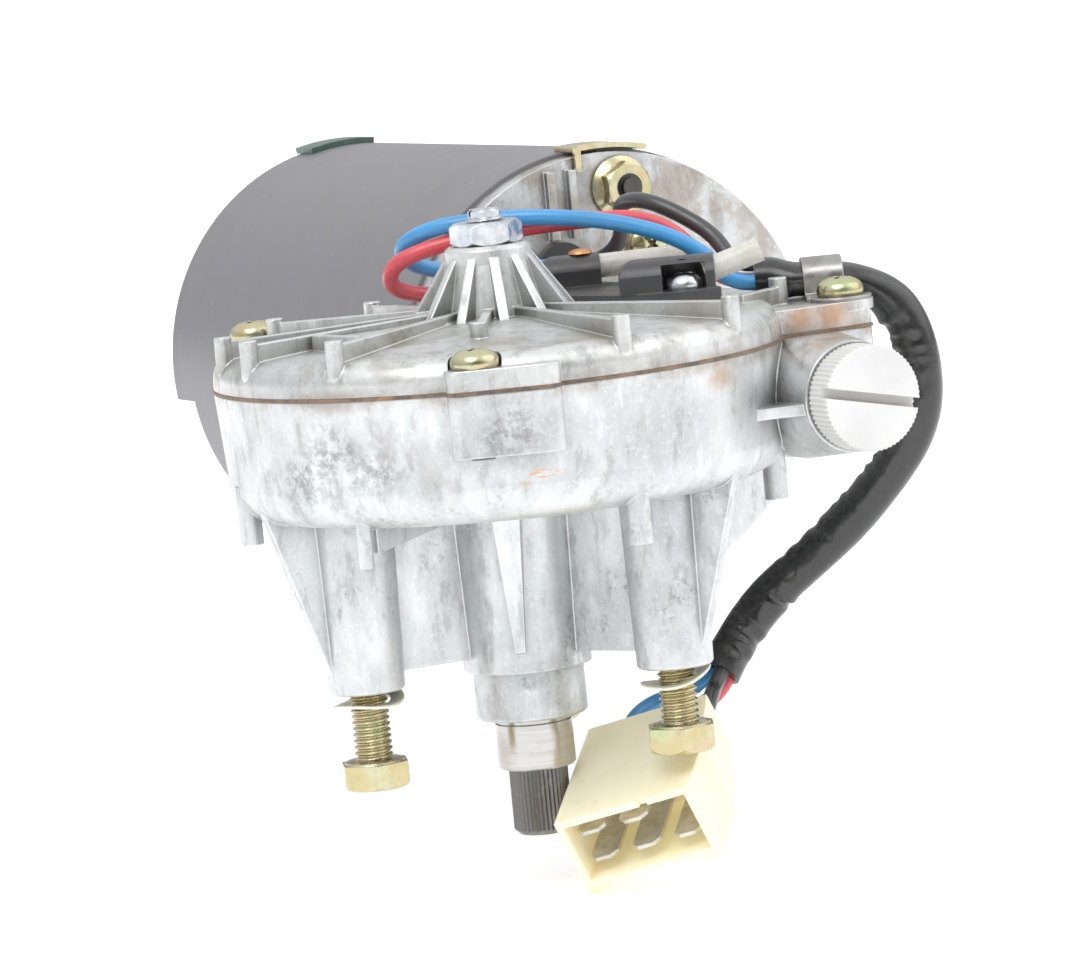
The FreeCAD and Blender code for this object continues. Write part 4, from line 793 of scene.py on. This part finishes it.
SLEEVE_ROUTE = [
    (57.0, -6.5, 72.9), (64.5, -9.9, 72.1), (76.4, -15.4, 71.7), (83.9, -19.2, 64.6), (87.1, -20.9, 52.6),
    (85.6, -20.2, 40.2), (78.9, -14.6, 28.0), (69.5, -4.6, 15.5), (56.5, 8.8, 1.6), (46.8, 6.2, -9.6),
]
WIRE_ROUTES = {
    "lead_blue": ("blue", [
        (42, 56.7, 75.6), (42, 51.5, 75.6), (36, 46.8, 76.6), (24, 44, 77.8), (10, 40, 78.8),
        (-1, 36.5, 81.5), (-6, 31.5, 86), (-3, 24, 89.5), (4, 18, 90.8), (16, 11, 90.6),
        (30, 5.5, 88.3), (40.5, -0.5, 84.5), (47.8, -4.8, 79), (51.51, -6.39, 72.73), (56.06, -8.45, 72.55),
    ]),
    "lead_red": ("red", [
        (44, 56.7, 72.2), (44, 51.5, 72.2), (36.5, 47.4, 72), (22.6, 45, 73.2), (2.8, 38.5, 74.6),
        (-7.3, 33, 77.4), (-9.8, 28.8, 81.4), (-7.5, 24.5, 84.6), (1.1, 20.5, 86.8), (14.4, 16, 88),
        (27, 11.6, 88.4), (38.8, 7.2, 88), (46.2, 4.4, 83.4), (49.2, 1.2, 77.6), (53.3, -2.45, 72.73),
        (57.85, -4.51, 72.55),
    ]),
    "lead_black": ("black", [
        (46, 56.7, 75.6), (46, 51.5, 75.6), (49.4, 45, 77.6), (49, 37, 82), (45, 29.5, 87),
        (42.5, 22, 90.6), (44, 14.5, 90.8), (48.6, 8.2, 87.4), (53, 1.4, 82.4), (53.26, -4.81, 76.45),
        (57.08, -6.54, 76.3),
    ]),
    "tail_blue": ("blue", [
        (45.34, 8.05, -8.77), (42.12, 7.19, -12.49), (35.5, 13.8, -14.4), (27.54, 10.93, -16.89),
        (22.1, 4.64, -20.34),
    ]),
    "tail_red": ("red", [
        (48.6, 6.68, -11.27), (46.02, 5.99, -14.25), (39.8, 6.8, -16.4), (33.95, 4.14, -14.65),
        (28.51, -2.14, -18.1),
    ]),
    "tail_black": ("black", [
        (46.46, 3.87, -8.77), (43.75, 3.14, -11.9), (39.63, -3.2, -12.84), (34.79, -8.78, -15.9),
    ]),
}
WIRE_R = 1.7
SLEEVE_R = 4.7
PRESS, SPREAD = 0.24, 0.12


def route_curve(name, points, bevel=0.0):
    """A smooth NURBS line with the route's points as its control points."""
    data = bpy.data.curves.new(name, "CURVE")
    data.dimensions = "3D"
    spline = data.splines.new("NURBS")
    spline.points.add(len(points) - 1)
    for place, point in zip(spline.points, points):
        place.co = (*[c * MM for c in point], 1.0)
    spline.order_u = 3
    spline.use_endpoint_u = True
    spline.resolution_u = 12
    data.bevel_depth = bevel * MM
    data.bevel_resolution = 8
    data.use_fill_caps = True
    thing = bpy.data.objects.new(name, data)
    bpy.context.scene.collection.objects.link(thing)
    return thing


def wires():
    made = {}
    for node, (colour, points) in WIRE_ROUTES.items():
        thing = route_curve(node + "_wire", points, WIRE_R)
        thing.data.materials.append(FINISHES[colour])
        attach(thing, "frame")
        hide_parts(node)
        made[node] = thing
    return made


def line_of(points):
    """Even points along the route's smooth line, and its length, in millimetres."""
    thing = route_curve("route", points)
    thing.data.splines[0].resolution_u = 24
    mesh = bpy.data.meshes.new_from_object(thing)
    raw = [v.co / MM for v in mesh.vertices]
    bpy.data.objects.remove(thing)
    lengths = [0.0]
    for a, b in zip(raw, raw[1:]):
        lengths.append(lengths[-1] + (b - a).length)
    step, even, k = 0.45, [], 0
    count = int(lengths[-1] / step)
    for i in range(count + 1):
        s = lengths[-1] * i / count
        while k < len(raw) - 2 and lengths[k + 1] < s:
            k += 1
        even.append(raw[k].lerp(raw[k + 1], (s - lengths[k]) / (lengths[k + 1] - lengths[k])))
    return even, lengths[-1]


def squeeze(s):
    """How far the clamp flattens the sleeve, this many millimetres along it."""
    rise, fall = min(1.0, max(0.0, (s - 3) / 6)), min(1.0, max(0.0, (32 - s) / 11))
    both = min(rise, fall)
    return both * both * (3 - 2 * both)


def cable_clamp():
    """A strap bent over the flattened sleeve, with a round foot under the cover screw."""
    arch = []
    for i in range(25):
        c, h = math.cos(math.pi * i / 24), math.sin(math.pi * i / 24)
        arch.append((5.9 * math.copysign(abs(c) ** 0.75, c), 71.6 + 4.5 * h ** 0.75))
    foot_bend = [(-5.98, 70.2), (-6.3, 69.1), (-7.2, 68.58), (-9, 68.56), (-12.5, 68.56)]
    middle = [(6.0, 68.5), (5.95, 70.0)] + arch + foot_bend
    levels = ((-4.2, 0.28), (-4.05, 0.44), (4.05, 0.44), (4.2, 0.28))
    count, verts = len(middle), []
    for x, half in levels:
        loops = [[], []]
        for i, (y, z) in enumerate(middle):
            (y0, z0), (y1, z1) = middle[max(i - 1, 0)], middle[min(i + 1, count - 1)]
            long = math.hypot(y1 - y0, z1 - z0)
            ny, nz = (z1 - z0) / long * half, -(y1 - y0) / long * half
            loops[0].append((x, y + ny, z + nz))
            loops[1].append((x, y - ny, z - nz))
        verts += loops[0] + loops[1][::-1]
    size = 2 * count
    faces = grid_faces(len(levels), size)
    last = size * (len(levels) - 1)
    for i in range(count - 1):
        quad = (i, i + 1, size - 2 - i, size - 1 - i)
        faces.append(tuple(reversed(quad)))
        faces.append(tuple(last + k for k in quad))
    strap = shifted((verts, faces), 69.8, -12.3, 0, -24.8)
    foot = shifted(rings([(1, 68.12), (1, 68.8), (0.97, 68.99)], lambda angle: 6.4, 64), 67.3, -24.3)
    verts, faces = combined(strap, foot)
    piece("cable_clamp_bent", verts, faces, "clamp", "frame", "white_zinc", "cable_clamp")


def cable_sleeve():
    """The black sleeve: a tube on the route's line, creased on the inside of its bends."""
    line, length = line_of(SLEEVE_ROUTE)
    seeded = random.Random(7)
    count, columns = len(line), 56
    tangents = [(line[min(i + 1, count - 1)] - line[max(i - 1, 0)]).normalized() for i in range(count)]
    side = tangents[0].orthogonal().normalized()
    frames, inward = [], []
    for i, tangent in enumerate(tangents):
        side = (side - tangent * side.dot(tangent)).normalized()
        up = tangent.cross(side)
        frames.append((side, up))
        bend = tangents[min(i + 8, count - 1)] - tangents[max(i - 8, 0)]
        inward.append((math.atan2(bend.dot(up), bend.dot(side)), bend.length))
    creases = []
    for _ in range(46):
        at = seeded.randint(60, count - 12)
        angle, bend = inward[at]
        depth = (0.18 + 0.52 * min(1.0, bend * 2.2)) * seeded.uniform(0.5, 1.0)
        lean = seeded.uniform(-0.8, 0.8)
        creases.append((at, angle + seeded.gauss(0, 0.55), depth, seeded.uniform(1.6, 3.6), lean))
    wides = [tangent.cross(Vector((0, 0, 1))).normalized() for tangent in tangents]
    rises = [wide.cross(tangent) for wide, tangent in zip(wides, tangents)]
    pressed = [squeeze(length * i / (count - 1)) for i in range(count)]
    verts = []
    for i in range(count):
        swell = 0.10 * math.sin(i * 0.11) + 0.07 * math.sin(i * 0.043 + 1.0)
        for j in range(columns):
            angle = 2 * math.pi * j / columns
            radius = SLEEVE_R - 0.12 + swell
            for at, middle, depth, width, lean in creases:
                if abs(i - at) > 22:
                    continue
                off = (angle - middle + math.pi) % (2 * math.pi) - math.pi
                along = (i - at + lean * off * 4) * 0.45 / width
                round_it = math.exp(-((off / 0.95) ** 2))
                fold = math.exp(-(along ** 2) * 4)
                lip = 0.55 * math.exp(-((abs(along) - 0.8) ** 2) * 6)
                radius -= depth * round_it * (fold - lip)
            a, b = frames[i]
            out = (a * math.cos(angle) + b * math.sin(angle)) * radius
            flat = rises[i] * (PRESS * pressed[i] * out.dot(rises[i]))
            spread = wides[i] * (SPREAD * pressed[i] * out.dot(wides[i]))
            out += spread - flat
            verts.append(tuple(line[i] + out))
    faces = grid_faces(count, columns)
    faces.append(tuple(reversed(range(columns))))
    faces.append(tuple(range((count - 1) * columns, count * columns)))
    names = ("vinyl", "frame", "sleeve_vinyl", "cable_sleeve")
    tube = piece("cable_sleeve_vinyl", verts, faces, *names, smooth=60)
    return tube, [tuple(p * MM for p in line)]


def cables():
    """Every free wire and the sleeve, with the leads' real lengths worked out."""
    made = wires()
    tube, path = cable_sleeve()
    for name in ("lead_blue", "lead_red", "lead_black"):
        points = WIRE_ROUTES[name][1]
        real = line_of(points)[1] * MM


# Stage -----------------------------------------------------------------------------------------


def floor():
    """A wide pale floor just under the object's lowest point."""
    size, low = 40.0, CAD_BOX[0][2] - 0.0002
    mesh = bpy.data.meshes.new("floor")
    corners = [(-size, -size, low), (size, -size, low), (size, size, low), (-size, size, low)]
    mesh.from_pydata(corners, [], [(0, 1, 2, 3)])
    thing = bpy.data.objects.new("floor", mesh)
    bpy.context.scene.collection.objects.link(thing)
    f = Finish("floor", (0.96, 0.96, 0.965), 0.85, Emission_Color=(1, 1, 1, 1), Emission_Strength=0.30)
    f.paint(f.fit(f.noise(400, 2), 0.4, 0.6), (0.94, 0.94, 0.95))
    mesh.materials.append(f.done())


def sun(name, direction, energy, angle, colour=(1, 1, 1)):
    data = bpy.data.lights.new(name, "SUN")
    data.energy, data.angle, data.color = energy, math.radians(angle), colour
    lamp = bpy.data.objects.new(name, data)
    bpy.context.scene.collection.objects.link(lamp)
    lamp.rotation_mode = "QUATERNION"
    lamp.rotation_quaternion = Vector(direction).to_track_quat("-Z", "Y")


def studio():
    """Soft light from above and both sides, and a white surround with a darker part in front."""
    sun("key", (0.55, 0.55, -1.0), 1.6, 40)
    sun("fill", (-0.7, 0.35, -0.55), 0.8, 60)
    world = bpy.data.worlds.new("studio")
    bpy.context.scene.world = world
    world.use_nodes = True
    tree = world.node_tree
    tree.nodes.clear()
    out = tree.nodes.new("ShaderNodeOutputWorld")
    place = tree.nodes.new("ShaderNodeTexCoord").outputs["Generated"]
    split = tree.nodes.new("ShaderNodeSeparateXYZ")
    tree.links.new(place, split.inputs[0])
    height = tree.nodes.new("ShaderNodeMapRange")
    height.interpolation_type = "SMOOTHSTEP"
    for key, value in {"From Min": -0.1, "From Max": 0.9, "To Min": 0.50, "To Max": 1.15}.items():
        height.inputs[key].default_value = value
    tree.links.new(split.outputs[2], height.inputs["Value"])
    toward = tree.nodes.new("ShaderNodeVectorMath")
    toward.operation = "DOT_PRODUCT"
    tree.links.new(place, toward.inputs[0])
    toward.inputs[1].default_value = Vector((-0.30, -0.95, 0.05)).normalized()
    dark = tree.nodes.new("ShaderNodeMapRange")
    dark.interpolation_type = "SMOOTHSTEP"
    for key, value in {"From Min": 0.68, "From Max": 0.97, "To Min": 1.0, "To Max": 0.20}.items():
        dark.inputs[key].default_value = value
    tree.links.new(toward.outputs["Value"], dark.inputs["Value"])
    power = tree.nodes.new("ShaderNodeMath")
    power.operation = "MULTIPLY"
    tree.links.new(height.outputs[0], power.inputs[0])
    tree.links.new(dark.outputs[0], power.inputs[1])
    light = tree.nodes.new("ShaderNodeBackground")
    light.inputs["Color"].default_value = (0.97, 0.98, 1.0, 1.0)
    tree.links.new(power.outputs[0], light.inputs["Strength"])
    seen = tree.nodes.new("ShaderNodeBackground")
    seen.inputs["Color"].default_value = (1.0, 1.0, 1.0, 1.0)
    pick = tree.nodes.new("ShaderNodeMixShader")
    tree.links.new(tree.nodes.new("ShaderNodeLightPath").outputs["Is Camera Ray"], pick.inputs[0])
    tree.links.new(light.outputs[0], pick.inputs[1])
    tree.links.new(seen.outputs[0], pick.inputs[2])
    tree.links.new(pick.outputs[0], out.inputs[0])
    view = bpy.context.scene.view_settings
    view.view_transform, view.gamma = "Standard", 1.22


camera()
cables()
paint_nodes()
mounting_bolts()
spring_washers()
adjuster_stud()
cable_clamp()
floor()
studio()
